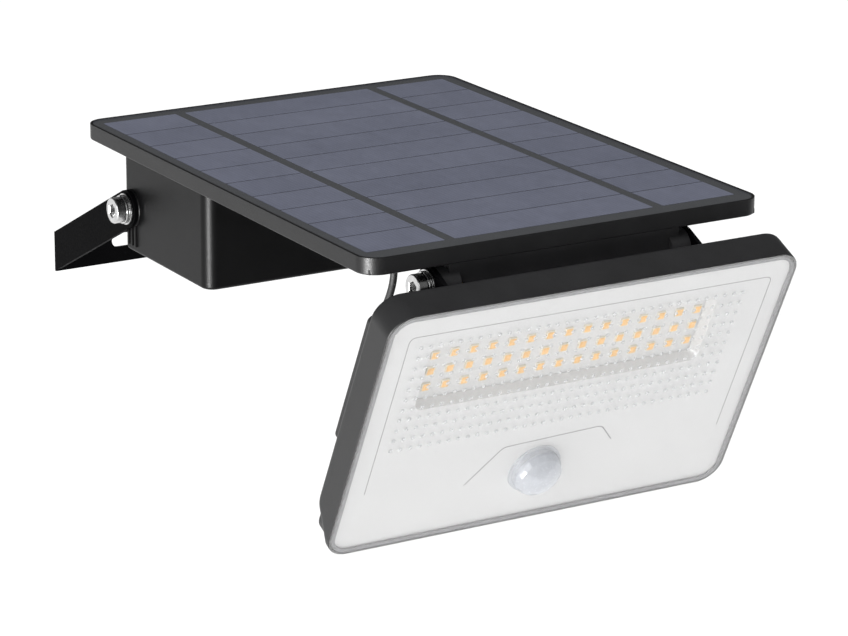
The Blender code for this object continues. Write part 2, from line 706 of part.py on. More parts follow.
def make_solar_laminate(datum):
    """The cells on their backsheet and the clear sheet over them."""
    sheet = material("solar_cells", (0.10, 0.105, 0.17), 0.4)
    clear = material("panel_glazing", (0.75, 0.78, 0.8), 0.15, 0.0, 0.15)
    inset = PANEL_LIP + GAP
    base = -LAMINATE_SEAT_DEPTH + GAP
    flat = base + BACKSHEET_THICKNESS
    side_width = (CELL_FIELD_WIDTH - CELL_CENTRE_WIDTH) / 2 - CELL_COLUMN_GAP
    half = CELL_FIELD_WIDTH / 2
    inner = CELL_CENTRE_WIDTH / 2
    xs = [-PANEL_WIDTH / 2 + inset + PANEL_CORNER / 2]
    for low, high in ((-half, -half + side_width), (-inner, inner), (half - side_width, half)):
        xs += [low, high]
    xs.append(-xs[0])
    pitch = CELL_FIELD_DEPTH / CELL_ROWS
    centres = [CELL_FIELD_FRONT + (j + 0.5) * pitch for j in range(CELL_ROWS)]
    ends = (inset + PANEL_CORNER / 2, PANEL_DEPTH - inset - PANEL_CORNER / 2)
    ys = bands(centres, pitch - CELL_ROW_GAP, ends[0], ends[1])
    board = stepped_mesh(
        "cell_sheet", xs, ys, lambda i, j: i % 2 == 1 and j % 2 == 1, base, flat, flat + CELL_THICKNESS
    )
    board.transform(Matrix(((1, 0, 0, 0), (0, 0, 1, 0), (0, 1, 0, 0), (0, 0, 0, 1))))
    board.flip_normals()
    cells = add("cell_sheet", board, datum, sheet)
    outline = inset_outline(inset, PANEL_CORNER - inset)
    join(cells, [prism_mesh("backsheet", outline, base, flat)])
    low = flat + CELL_THICKNESS + GAP
    add("panel_glazing", prism_mesh("panel_glazing", outline, low, low + GLAZING_THICKNESS), datum, clear)


# ---------------------------------------------------------------- battery box

def box_outline(inset, radius):
    """The battery box's outline moved in by inset."""
    half = BOX_WIDTH / 2 - inset
    return rounded_outline(-half, half, BOX_FRONT + inset, BOX_BACK - inset, radius)


def side_ribs(side):
    """Upright ribs below a pivot pad, on one side of the box."""
    low, high = sorted((side * (BOX_WIDTH / 2 - MM), side * (BOX_WIDTH / 2 + PAD_PROUD)))
    ribs = []
    for k in range(SIDE_RIBS):
        y = REAR_PIVOT_Y + (k - (SIDE_RIBS - 1) / 2) * SIDE_RIB_PITCH
        outline = [
            (y - SIDE_RIB_WIDTH / 2, BOX_BOTTOM + 2 * BOX_BOTTOM_CHAMFER),
            (y + SIDE_RIB_WIDTH / 2, BOX_BOTTOM + 2 * BOX_BOTTOM_CHAMFER),
            (y + SIDE_RIB_WIDTH / 2, -REAR_PIVOT_DROP),
            (y - SIDE_RIB_WIDTH / 2, -REAR_PIVOT_DROP),
        ]
        ribs.append(prism_mesh("side_rib", outline, low, high, "x"))
    return ribs


def make_battery_box(datum):
    """The box under the rear of the panel, open at the top."""
    black = material("box_plastic", (0.05, 0.05, 0.05), 0.55)
    chamfer = BOX_BOTTOM_CHAMFER
    loops = [
        (box_outline(chamfer, BOX_CORNER - chamfer), BOX_BOTTOM),
        (box_outline(0.3 * chamfer, BOX_CORNER - 0.3 * chamfer), BOX_BOTTOM + 0.3 * chamfer),
        (box_outline(0, BOX_CORNER), BOX_BOTTOM + chamfer),
        (box_outline(0, BOX_CORNER), BOX_TOP),
    ]
    box = add("battery_box", mesh_of("battery_box", lambda bm: loft(bm, loops)), datum, black)
    adds = []
    for side in (-1, 1):
        low, high = sorted((side * (BOX_WIDTH / 2 - MM), side * (BOX_WIDTH / 2 + PAD_PROUD)))
        pad = circle_outline(REAR_PIVOT_Y, -REAR_PIVOT_DROP, PAD_RADIUS, 24)
        adds.append(prism_mesh("pivot_pad", pad, low, high, "x"))
        adds += side_ribs(side)
    join(box, adds)
    inside = box_outline(BOX_WALL, BOX_CORNER - BOX_WALL)
    cut(box, [prism_mesh("box_inside", inside, BOX_FLOOR, BOX_TOP + MM)])
    inner = []
    for x, y in box_screw_places():
        column = circle_outline(x, y, COLUMN_RADIUS, FINE)
        inner.append(prism_mesh("screw_column", column, BOX_FLOOR - MM, BOX_TOP))
    for side in (-1, 1):
        mouth = BOX_WIDTH / 2 - MM
        boss = circle_outline(REAR_PIVOT_Y, -REAR_PIVOT_DROP, INSERT_RADIUS + BOSS_WALL)
        low, high = sorted((side * BOSS_END, side * mouth))
        inner.append(prism_mesh("pivot_boss", boss, low, high, "x"))
    post = BOARD_SIZE / 2 - POST_RADIUS - MM
    for sx in (-1, 1):
        for sy in (-1, 1):
            spot = circle_outline(BOARD_CENTRE_X + sx * post, BOX_MIDDLE + sy * post, POST_RADIUS, FINE)
            inner.append(prism_mesh("board_post", spot, BOX_FLOOR - MM, BOX_FLOOR + BOARD_LIFT - GAP))
    join(box, inner)
    holes = []
    for side in (-1, 1):
        end = BOX_WIDTH / 2 + PAD_PROUD - INSERT_LENGTH - 2 * GAP
        low, high = sorted((side * end, side * (BOX_WIDTH / 2 + PAD_PROUD + MM)))
        bore = circle_outline(REAR_PIVOT_Y, -REAR_PIVOT_DROP, INSERT_RADIUS + GAP)
        holes.append(prism_mesh("insert_bore", bore, low, high, "x"))
        relief_end = side * (BOX_WIDTH / 2 + PAD_PROUD - INSERT_LENGTH - 3 * BOSS_WALL)
        low, high = sorted((relief_end, side * end))
        relief = circle_outline(REAR_PIVOT_Y, -REAR_PIVOT_DROP, SHANK_RADIUS + SHANK_CLEARANCE)
        holes.append(prism_mesh("screw_relief", relief, low - 0.5 * MM, high + 0.5 * MM, "x"))
    for x, y in box_screw_places():
        pilot = circle_outline(x, y, PILOT_RADIUS, FINE)
        holes.append(prism_mesh("pilot", pilot, BOX_TOP - PILOT_DEPTH, BOX_TOP + MM))
    opening = circle_outline(BUTTON_X, BOX_MIDDLE, BUTTON_RADIUS + BUTTON_CLEARANCE)
    holes.append(prism_mesh("button_opening", opening, BOX_BOTTOM - MM, BOX_FLOOR + MM))
    cut(box, holes)


def make_box_fittings(datum):
    """Gasket, corner screws and the rear pivot's fasteners."""
    rubber = material("seal_rubber", (0.03, 0.03, 0.03), 0.8)
    steel = material("screw_steel", (0.5, 0.5, 0.5), 0.35, 1.0)
    low = BOX_TOP + GAP
    outer = box_outline(GASKET_INSET, BOX_CORNER - GASKET_INSET)
    gasket = add("box_gasket", prism_mesh("box_gasket", outer, low, low + GASKET_THICKNESS), datum, rubber)
    inset = GASKET_INSET + GASKET_WIDTH
    inner = box_outline(inset, BOX_CORNER - inset)
    cut(gasket, [prism_mesh("gasket_hole", inner, low - MM, low + GASKET_THICKNESS + MM)])
    top = -LAMINATE_SEAT_DEPTH - WIRE_SPACE_DEPTH + STACK_GAP
    for i, (x, y) in enumerate(box_screw_places()):
        small_screw(
            f"box_screw_{i + 1}", datum, steel, (x, y, top), SMALL_HEAD_RADIUS,
            SMALL_HEAD_HEIGHT, SMALL_SHANK_RADIUS, SMALL_SHANK_LENGTH, "z"
        )
    mouth = BOX_WIDTH / 2 + PAD_PROUD
    for side, label in ((-1, "left"), (1, "right")):
        arm_outer = WALL_ARM_INNER + STRIP_THICKNESS
        pivot_fasteners(f"wall_pivot_{label}", datum, REAR_PIVOT_Y, -REAR_PIVOT_DROP, side, arm_outer)
        threaded_insert(f"wall_pivot_{label}_insert", datum, REAR_PIVOT_Y, -REAR_PIVOT_DROP, side, mouth)


def battery_places():
    """X of each battery cell."""
    for k in range(BATTERY_CELLS):
        yield BATTERY_CENTRE_X + (k - (BATTERY_CELLS - 1) / 2) * BATTERY_PITCH


def make_battery_pack(datum):
    """Lithium cells in their cradle."""
    wrap = material("cell_wrap", (0.05, 0.18, 0.36), 0.4)
    cradle = material("cradle_plastic", (0.08, 0.08, 0.08), 0.6)
    radius = CELL_DIAMETER / 2
    low = BOX_FLOOR + GAP
    centre_z = low + HOLDER_FLOOR + GAP + radius
    start = BOX_MIDDLE - CELL_LENGTH / 2
    rim = 0.8 * MM
    profile = [
        (radius - rim, 0),
        (radius, rim),
        (radius, CELL_LENGTH - CELL_NUB_HEIGHT - rim),
        (radius - rim, CELL_LENGTH - CELL_NUB_HEIGHT),
        (CELL_NUB_RADIUS, CELL_LENGTH - CELL_NUB_HEIGHT),
        (CELL_NUB_RADIUS, CELL_LENGTH),
    ]
    for k, x in enumerate(battery_places()):
        mesh = turned_mesh(f"battery_cell_{k + 1}", profile, "y")
        add(f"battery_cell_{k + 1}", mesh, datum, wrap, (x, start, centre_z))
    half = HOLDER_HALF_WIDTH
    margin = HOLDER_END_MARGIN
    outline = rounded_outline(
        BATTERY_CENTRE_X - half, BATTERY_CENTRE_X + half,
        start - margin, start + CELL_LENGTH + margin, 1.5 * MM, 2
    )
    holder = add("battery_holder", prism_mesh("battery_holder", outline, low, low + HOLDER_HEIGHT), datum, cradle)
    troughs = []
    for x in battery_places():
        trough = circle_outline(-x, centre_z, radius + GAP)
        troughs.append(prism_mesh("trough", trough, start - GAP, start + CELL_LENGTH + GAP, "y"))
    cut(holder, troughs)


def make_charge_board(datum):
    """Charge controller, its push switch and the mode button in the box's floor."""
    green = material("circuit_board", (0.02, 0.16, 0.07), 0.45)
    plain = material("switch_body", (0.06, 0.06, 0.06), 0.5)
    rubber = material("button_rubber", (0.08, 0.08, 0.08), 0.7)
    low = BOX_FLOOR + BOARD_LIFT
    half = BOARD_SIZE / 2
    outline = rounded_outline(
        BOARD_CENTRE_X - half, BOARD_CENTRE_X + half, BOX_MIDDLE - half, BOX_MIDDLE + half, 2 * MM, 2
    )
    board = add("charge_board", prism_mesh("charge_board", outline, low, low + BOARD_THICKNESS), datum, green)
    parts = []
    top = low + BOARD_THICKNESS
    for dx, dy, w, d, lift in (
        (-18, 16, 12, 9, 3), (2, 15, 8, 8, 1), (18, 14, 10, 14, 2),
        (-16, -6, 14, 10, 1), (8, -6, 7, 5, 1), (-10, -21, 30, 7, 2),
    ):
        x = BOARD_CENTRE_X + dx * MM
        y = BOX_MIDDLE + dy * MM
        chip = rounded_outline(x - w * MM / 2, x + w * MM / 2, y - d * MM / 2, y + d * MM / 2, 0.5 * MM, 1)
        parts.append(prism_mesh("chip", chip, top - MM / 2, top + lift * CHIP_HEIGHT))
    join(board, parts)
    half = SWITCH_SIZE / 2
    body = rounded_outline(-half, half, -half, half, 0.6 * MM, 2)
    switch_top = low - GAP
    switch = add(
        "mode_switch", prism_mesh("mode_switch", body, -SWITCH_HEIGHT, 0), datum, plain,
        (BUTTON_X, BOX_MIDDLE, switch_top)
    )
    plunger = circle_outline(0, 0, PLUNGER_RADIUS, FINE)
    join(switch, [prism_mesh("plunger", plunger, -SWITCH_HEIGHT - PLUNGER_PROUD, -SWITCH_HEIGHT + MM / 2)])
    switch_low = switch_top - SWITCH_HEIGHT - PLUNGER_PROUD
    stem_top = switch_low - BUTTON_TRAVEL - STACK_GAP
    foot = BOX_BOTTOM - BUTTON_PROUD
    flange = BOX_FLOOR + GAP
    profile = [
        (BUTTON_RADIUS - BUTTON_EDGE, 0),
        (BUTTON_RADIUS, BUTTON_EDGE),
        (BUTTON_RADIUS, flange - foot),
        (BUTTON_FLANGE_RADIUS, flange - foot),
        (BUTTON_FLANGE_RADIUS, flange + BUTTON_FLANGE_THICKNESS - foot),
        (BUTTON_STEM_RADIUS, flange + BUTTON_FLANGE_THICKNESS - foot),
        (BUTTON_STEM_RADIUS, stem_top - foot),
    ]
    mesh = turned_mesh("mode_button", profile, "z")
    add("mode_button", mesh, datum, rubber, (BUTTON_X, BOX_MIDDLE, foot))


# ---------------------------------------------------------------- hinge block

def block_screw_places():
    """Screws from the panel frame down into the hinge block."""
    for x in BLOCK_SCREW_OFFSETS:
        yield x, BLOCK_FRONT_INSET + BLOCK_DEPTH * 0.72


def make_hinge_block(datum):
    """The bar under the panel's front edge that the lamp head hangs from."""
    black = material("block_plastic", (0.03, 0.03, 0.03), 0.55)
    steel = material("screw_steel", (0.5, 0.5, 0.5), 0.35, 1.0)
    top = -PANEL_THICKNESS - GAP
    low = top - BLOCK_HEIGHT
    front = BLOCK_FRONT_INSET
    back = BLOCK_FRONT_INSET + BLOCK_DEPTH
    r = BLOCK_ROUND
    outline = [(back, top), (front, top)]
    for i in range(ARC + 1):
        a = math.pi + math.pi / 2 * i / ARC
        outline.append((front + r + r * math.cos(a), low + r + r * math.sin(a)))
    for i in range(ARC + 1):
        a = 1.5 * math.pi + math.pi / 2 * i / ARC
        outline.append((back - r + r * math.cos(a), low + r + r * math.sin(a)))
    half = BLOCK_WIDTH / 2
    block = add("hinge_block", prism_mesh("hinge_block", outline, -half, half, "x"), datum, black)
    lugs = []
    for side in (-1, 1):
        ends = sorted((side * (half - LUG_ROOT), side * (half + LUG_LENGTH)))
        lug = circle_outline(HEAD_PIVOT_INSET, -HEAD_PIVOT_DROP, LUG_RADIUS, 24)
        lugs.append(prism_mesh("lug", lug, ends[0], ends[1], "x"))
    join(block, lugs)
    mouth = half + LUG_LENGTH
    holes = []
    bore_radius = SHANK_RADIUS + SHANK_CLEARANCE
    spots = (
        (-1, INSERT_RADIUS + GAP, INSERT_LENGTH + 2 * GAP),
        (-1, bore_radius, PIVOT_BORE_DEPTH),
        (1, bore_radius, PIVOT_BORE_DEPTH),
    )
    for side, radius, depth in spots:
        ends = sorted((side * (mouth - depth), side * (mouth + MM)))
        bore = circle_outline(HEAD_PIVOT_INSET, -HEAD_PIVOT_DROP, radius)
        holes.append(prism_mesh("block_bore", bore, ends[0], ends[1], "x"))
    for x, y in block_screw_places():
        pilot = circle_outline(x, y, PILOT_RADIUS, FINE)
        holes.append(prism_mesh("block_pilot", pilot, top - PILOT_DEPTH, top + MM))
    cut(block, holes)
    head_rest = -LAMINATE_SEAT_DEPTH - WIRE_SPACE_DEPTH + STACK_GAP
    for i, (x, y) in enumerate(block_screw_places()):
        small_screw(
            f"block_screw_{i + 1}", datum, steel, (x, y, head_rest), SMALL_HEAD_RADIUS,
            SMALL_HEAD_HEIGHT, SMALL_SHANK_RADIUS, SMALL_SHANK_LENGTH, "z"
        )


def make_head_pivots(datum):
    """The left screw with its insert and washers, and the flush pin on the right."""
    steel = material("stainless", (0.62, 0.62, 0.60), 0.25, 1.0)
    arm_outer = HEAD_ARM_INNER + STRIP_THICKNESS
    mouth = BLOCK_WIDTH / 2 + LUG_LENGTH
    pivot_fasteners("head_pivot_left", datum, HEAD_PIVOT_INSET, -HEAD_PIVOT_DROP, -1, arm_outer)
    threaded_insert("head_pivot_left_insert", datum, HEAD_PIVOT_INSET, -HEAD_PIVOT_DROP, -1, mouth)
    profile = [
        (SHANK_RADIUS, -SHANK_LENGTH),
        (SHANK_RADIUS, 0),
        (PIN_HEAD_RADIUS, 0),
        (PIN_HEAD_RADIUS, PIN_HEAD_THICKNESS * 0.6),
        (PIN_HEAD_RADIUS * 0.8, PIN_HEAD_THICKNESS),
    ]
    mesh = turned_mesh("head_pivot_pin", profile, "x")
    at = (arm_outer + STACK_GAP, HEAD_PIVOT_INSET, -HEAD_PIVOT_DROP)
    add("head_pivot_pin", mesh, datum, steel, at)


# ---------------------------------------------------------------- lamp head

def head_outline(inset, radius, bottom_inset=None):
    """The head's outline moved in by inset, its bottom edge by bottom_inset."""
    half = HEAD_WIDTH / 2 - inset
    low = HEAD_BOTTOM + (inset if bottom_inset is None else bottom_inset)
    return rounded_outline(-half, half, low, HEAD_TOP - inset, radius)


def housing_loops(wall, front):
    """Outlines of the housing from its rim to its back, moved in by wall.

    The side and top edges round over at the back, and the bottom leans in towards the back.
    """
    loops = []
    depth = HEAD_DEPTH - wall
    reach = HEAD_BACK_ROUND
    levels = [front, HEAD_DEPTH * 0.18]
    levels += [depth - reach * (1 - math.sin(math.pi / 2 * i / 3)) for i in range(4)]
    for d in levels:
        over = max(0.0, d - (depth - reach))
        curl = reach - math.sqrt(max(0.0, reach ** 2 - over ** 2))
        lean = max(0.0, (d - HEAD_DEPTH * 0.18) / (HEAD_DEPTH * 0.82)) * HEAD_BOTTOM_SLOPE
        radius = HEAD_CORNER - min(wall, HEAD_CORNER / 2) - curl / 2
        points = head_outline(wall + curl, radius, wall + lean + curl)
        loops.append((points, HEAD_FACE + d))
    return loops


def platform_mesh(name, inset, low, high):
    """The raised pad on the housing's back, moved in by inset."""
    half = HEAD_WIDTH / 2 - PLATFORM_SIDE_INSET - inset
    top = HEAD_TOP - PLATFORM_TOP - inset
    bottom = HEAD_TOP - PLATFORM_TOP - PLATFORM_HEIGHT + inset
    outline = rounded_outline(-half, half, bottom, top, PLATFORM_CORNER, 3)
    return prism_mesh(name, outline, low, high, "y")


def strap_recess():
    """Room for the head bracket's strap in the raised pad."""
    half = HEAD_ARM_INNER + STRIP_THICKNESS + STRAP_CLEARANCE
    low = -STRIP_WIDTH / 2 - STRAP_CLEARANCE
    outline = rounded_outline(-half, half, low, HEAD_TOP, 2 * MM, 2)
    return prism_mesh("strap_recess", outline, HEAD_BACK, HEAD_BACK + PLATFORM_DEPTH + MM, "y")


def make_head_housing(head):
    """The lamp's back shell."""
    black = material("head_plastic", (0.04, 0.04, 0.04), 0.5)
    shell = mesh_of("head_housing", lambda bm: loft(bm, housing_loops(0, 0), "y"))
    housing = add("head_housing", shell, head, black)
    high = HEAD_BACK + PLATFORM_DEPTH
    join(housing, [platform_mesh("platform", 0, HEAD_BACK - MM, high)])
    cut(housing, [strap_recess()])
    inside = mesh_of("inside", lambda bm: loft(bm, housing_loops(HEAD_WALL, -MM), "y"))
    lip = prism_mesh("lip", head_outline(HEAD_LIP, HEAD_CORNER - HEAD_LIP), HEAD_FACE - MM,
                     REFLECTOR_BACK + GAP, "y")
    cut(housing, [inside, lip])
    bosses = []
    floor = HEAD_BACK - HEAD_WALL
    for x in BRACKET_SCREW_OFFSETS:
        boss = circle_outline(-x, 0, PAN_SHANK_RADIUS + BOSS_WALL, FINE)
        bosses.append(prism_mesh("screw_boss", boss, floor - STRAP_BOSS_LENGTH, floor + MM, "y"))
    board_back = LED_FACE + LED_BOARD_THICKNESS
    for x in LED_SCREW_PLACES:
        spot = circle_outline(-x, LED_MIDDLE_Z, BOARD_BOSS_RADIUS, FINE)
        bosses.append(prism_mesh("board_boss", spot, board_back + GAP, floor + MM, "y"))
    for dx in (-1, 1):
        x = SENSOR_X + dx * (SENSOR_BOARD_SIZE / 2 - SENSOR_BOSS_INSET)
        spot = circle_outline(-x, SENSOR_Z, SENSOR_BOSS_RADIUS, FINE)
        bosses.append(prism_mesh("sensor_boss", spot, sensor_board_back() + GAP, floor + MM, "y"))
    join(housing, bosses)
    holes = []
    for x in BRACKET_SCREW_OFFSETS:
        pilot = circle_outline(-x, 0, PAN_SHANK_RADIUS + SMALL_CLEARANCE / 2, FINE)
        holes.append(prism_mesh("strap_pilot", pilot, floor - STRAP_BOSS_LENGTH - MM, HEAD_BACK + MM, "y"))
    for x in LED_SCREW_PLACES:
        pilot = circle_outline(-x, LED_MIDDLE_Z, PILOT_RADIUS, FINE)
        holes.append(prism_mesh("board_pilot", pilot, board_back, board_back + 6 * MM, "y"))
    gland_z = HEAD_TOP - HEAD_GLAND_DROP
    seat = circle_outline(-LEAD_X, gland_z, LEAD_DIAMETER / 2)
    holes.append(prism_mesh("wire_hole", seat, floor - MM, HEAD_BACK + PLATFORM_DEPTH + MM, "y"))
    cut(housing, holes)


def well_outline(grow):
    """The lamp well's floor moved out by grow."""
    half_x = LED_HALF_X + WELL_MARGIN_X + grow
    half_z = LED_HALF_Z + WELL_MARGIN_Z + grow
    radius = 2 * MM + grow
    x = -LIGHT_CENTRE_X
    return rounded_outline(x - half_x, x + half_x, LED_MIDDLE_Z - half_z, LED_MIDDLE_Z + half_z, radius, 3)


def sensor_hole(name, radius, low, high):
    """A round cutter on the sensor's axis."""
    return prism_mesh(name, circle_outline(-SENSOR_X, SENSOR_Z, radius, 24), low, high, "y")


def make_reflector(head):
    """The white front tray with the lamp well and the sensor's hole."""
    white = material("reflector_white", (0.86, 0.86, 0.86), 0.45)
    outline = head_outline(HEAD_LIP + GAP, HEAD_CORNER - HEAD_LIP)
    reflector = add("reflector", prism_mesh("reflector", outline, REFLECTOR_FACE, REFLECTOR_BACK, "y"), head, white)
    deep = LED_FACE - GAP
    wall = REFLECTOR_THICKNESS
    draft = WELL_DRAFT
    outside = [(well_outline(wall + draft), REFLECTOR_FACE + 0.2 * MM), (well_outline(wall), deep)]
    join(reflector, [mesh_of("well", lambda bm: loft(bm, outside, "y"))])
    depth = deep - REFLECTOR_FACE
    over = MM
    inside = [
        (well_outline(draft + draft * over / depth), REFLECTOR_FACE - over),
        (well_outline(-draft * over / depth), deep + over),
    ]
    opening = SENSOR_OPENING + DOME_FLANGE
    cut(reflector, [
        mesh_of("well_inside", lambda bm: loft(bm, inside, "y")),
        sensor_hole("sensor_opening", opening, REFLECTOR_FACE - MM, REFLECTOR_BACK + MM),
    ])


def make_led_board(head):
    """The lamp board with its rows of light-emitting diodes and two fixing screws."""
    white = material("led_board_white", (0.82, 0.80, 0.72), 0.5)
    steel = material("screw_steel", (0.5, 0.5, 0.5), 0.35, 1.0)
    half_x = LED_HALF_X + WELL_MARGIN_X + BOARD_MARGIN
    half_z = LED_HALF_Z + WELL_MARGIN_Z + BOARD_MARGIN
    xs = [LIGHT_CENTRE_X + (i - (LED_COLUMNS - 1) / 2) * LED_PITCH_X for i in range(LED_COLUMNS)]
    zs = [LED_MIDDLE_Z + (j - (LED_ROWS - 1) / 2) * LED_PITCH_Z for j in range(LED_ROWS)]
    lines_x = bands(xs, LED_WIDTH, LIGHT_CENTRE_X - half_x, LIGHT_CENTRE_X + half_x)
    lines_z = bands(zs, LED_LENGTH, LED_MIDDLE_Z - half_z, LED_MIDDLE_Z + half_z)
    board = stepped_mesh(
        "led_board", lines_x, lines_z, lambda i, j: i % 2 == 1 and j % 2 == 1,
        LED_FACE + LED_BOARD_THICKNESS, LED_FACE, LED_FACE - LED_THICKNESS
    )
    lamps = add("led_board", board, head, white)
    holes = []
    for x in LED_SCREW_PLACES:
        spot = circle_outline(-x, LED_MIDDLE_Z, SMALL_SHANK_RADIUS + SMALL_CLEARANCE, FINE)
        holes.append(prism_mesh("board_hole", spot, LED_FACE - MM, LED_FACE + LED_BOARD_THICKNESS + MM, "y"))
    cut(lamps, holes)
    for i, x in enumerate(LED_SCREW_PLACES):
        head_rest = (x, LED_FACE - STACK_GAP, LED_MIDDLE_Z)
        profile = [
            (SMALL_HEAD_RADIUS * 0.5, -SMALL_HEAD_HEIGHT / 2),
            (SMALL_HEAD_RADIUS * 0.7, 0),
            (SMALL_SHANK_RADIUS, 0),
            (SMALL_SHANK_RADIUS, SMALL_SHANK_LENGTH / 2),
        ]
        name = f"led_board_screw_{i + 1}"
        add(name, turned_mesh(name, profile, "y", FINE), head, steel, head_rest)


def make_lens(head):
    """The clear cover and the seal round its edge."""
    clear = material("clear_cover", (0.9, 0.92, 0.93), 0.08, 0.0, 0.18)
    grey = material("seal_grey", (0.25, 0.25, 0.26), 0.7)
    bevel = LENS_BEVEL
    loops = [
        (head_outline(LENS_INSET + bevel, HEAD_CORNER - bevel), LENS_FACE),
        (head_outline(LENS_INSET + 0.3 * bevel, HEAD_CORNER - 0.3 * bevel), LENS_FACE + 0.3 * bevel),
        (head_outline(LENS_INSET, HEAD_CORNER), LENS_FACE + bevel),
        (head_outline(LENS_INSET, HEAD_CORNER), LENS_BACK),
    ]
    lens = add("lens_cover", mesh_of("lens_cover", lambda bm: loft(bm, loops, "y")), head, clear)
    cut(lens, [sensor_hole("lens_hole", SENSOR_OPENING, LENS_FACE - MM, LENS_BACK + MM)])
    inset = HEAD_LIP + GAP
    outer = head_outline(inset, HEAD_CORNER - inset)
    inner = head_outline(inset + SEAL_WIDTH, HEAD_CORNER - inset - SEAL_WIDTH)
    seal = add("lens_seal", prism_mesh("lens_seal", outer, HEAD_FACE, REFLECTOR_FACE - GAP, "y"), head, grey)
    cut(seal, [prism_mesh("seal_hole", inner, HEAD_FACE - MM, REFLECTOR_FACE + MM, "y")])


def sensor_board_face():
    """Front of the sensor's circuit board."""
    return HEAD_FACE + LED_BOARD_DEPTH


def sensor_board_back():
    """Back of the sensor's circuit board."""
    return sensor_board_face() + BOARD_THICKNESS


def make_motion_sensor(head):
    """The domed sensor lens, the sensor can and its board."""
    milky = material("dome_plastic", (0.85, 0.86, 0.88), 0.3)
    metal = material("sensor_can", (0.6, 0.6, 0.58), 0.3, 1.0)
    green = material("circuit_board", (0.02, 0.16, 0.07), 0.45)
    brim_radius = DOME_RADIUS + DOME_FLANGE

    def dome_profile(inset):
        steps = 6
        points = [(0.25 * MM, LENS_FACE - DOME_RISE + inset)]
        for i in range(steps - 1, -1, -1):
            a = math.pi / 2 * i / steps
            radius = (DOME_RADIUS - inset) * math.cos(a)
            points.append((radius, LENS_FACE - (DOME_RISE - inset) * math.sin(a)))
        return points

    outer = dome_profile(0)
    outer += [(DOME_RADIUS, HEAD_FACE), (brim_radius, HEAD_FACE), (brim_radius, REFLECTOR_BACK - GAP)]
    at = (SENSOR_X, 0, SENSOR_Z)
    dome = add("sensor_dome", turned_mesh("sensor_dome", outer, "y", 24), head, milky, at)
    inner = dome_profile(DOME_WALL) + [(DOME_RADIUS - DOME_WALL, REFLECTOR_BACK + MM)]
    cut(dome, [turned_mesh("dome_inside", inner, "y", 24)])
    face = sensor_board_face()
    rim = 0.4 * MM
    can = [
        (CAN_RADIUS - rim, -CAN_HEIGHT), (CAN_RADIUS, -CAN_HEIGHT + rim), (CAN_RADIUS, -MM),
        (CAN_RADIUS + rim, -MM), (CAN_RADIUS + rim, 0),
    ]
    at = (SENSOR_X, face - GAP, SENSOR_Z)
    add("sensor_can", turned_mesh("sensor_can", can, "y", 20), head, metal, at)
    half = SENSOR_BOARD_SIZE / 2
    x = -SENSOR_X
    outline = rounded_outline(x - half, x + half, SENSOR_Z - half, SENSOR_Z + half, 2 * MM, 2)
    mesh = prism_mesh("sensor_board", outline, face, face + BOARD_THICKNESS, "y")
    add("sensor_board", mesh, head, green)


def make_bracket_screws(head):
    """Pan-head screws through the head bracket's strap."""
    steel = material("screw_steel", (0.5, 0.5, 0.5), 0.35, 1.0)
    at = STRAP_FACE + STRIP_THICKNESS + STACK_GAP
    for i, x in enumerate(BRACKET_SCREW_OFFSETS):
        small_screw(
            f"strap_screw_{i + 1}", head, steel, (x, at, 0), PAN_HEAD_RADIUS,
            PAN_HEAD_HEIGHT, PAN_SHANK_RADIUS, PAN_SHANK_LENGTH, "y"
        )


# ---------------------------------------------------------------- lamp lead

def make_glands(datum, head):
    """The lead's strain reliefs on the panel frame and on the lamp head."""
    rubber = material("gland_rubber", (0.02, 0.02, 0.02), 0.7)
    top = -PANEL_THICKNESS + UNDERSIDE_RELIEF - GAP
    profile = [
        (GLAND_TIP_RADIUS, top - PANEL_GLAND_LENGTH),
        (PANEL_GLAND_RADIUS, top - UNDERSIDE_RELIEF / 2),
        (PANEL_GLAND_RADIUS, top),
    ]
    add("panel_gland", turned_mesh("panel_gland", profile), datum, rubber, (LEAD_X, PANEL_GLAND_FROM_FRONT, 0))
    low = HEAD_BACK + PLATFORM_DEPTH + GAP
    profile = [
        (HEAD_GLAND_RADIUS, low),
        (HEAD_GLAND_RADIUS, low + 2 * MM),
        (HEAD_GLAND_RADIUS - MM, low + 2.6 * MM),
        (GLAND_TIP_RADIUS, low + HEAD_GLAND_LENGTH),
    ]
    z = HEAD_TOP - HEAD_GLAND_DROP
    add("head_gland", turned_mesh("head_gland", profile, "y"), head, rubber, (LEAD_X, 0, z))


def lead_points():
    """The lead's middle line in the panel's frame, as y and z, from panel to head."""
    top_z = -PANEL_THICKNESS + UNDERSIDE_RELIEF - 2 * GAP - PANEL_GLAND_LENGTH
    start = Vector((PANEL_GLAND_FROM_FRONT, top_z))
    gland_tip = HEAD_BACK + PLATFORM_DEPTH + HEAD_GLAND_LENGTH + 2 * GAP
    z = HEAD_TOP - HEAD_GLAND_DROP

    def in_panel(y, up):
        c = math.cos(HEAD_TILT)
        s = math.sin(HEAD_TILT)
        return Vector((HEAD_PIVOT_INSET + y * c - up * s, -HEAD_PIVOT_DROP + y * s + up * c))

    tip = in_panel(gland_tip, z)
    corner = in_panel(gland_tip + LEAD_BEND, z)
    above = in_panel(gland_tip + LEAD_BEND, z + LEAD_BEND)
    pull = start.copy()
    pull.y -= LEAD_DROOP * (start - above).length
    points = []
    for i in range(7):
        t = i / 6
        a = start.lerp(pull, t)
        b = pull.lerp(above, t)
        points.append(a.lerp(b, t))
    for i in range(1, 9):
        t = i / 8
        a = above.lerp(corner, t)
        b = corner.lerp(tip, t)
        points.append(a.lerp(b, t))
    return points


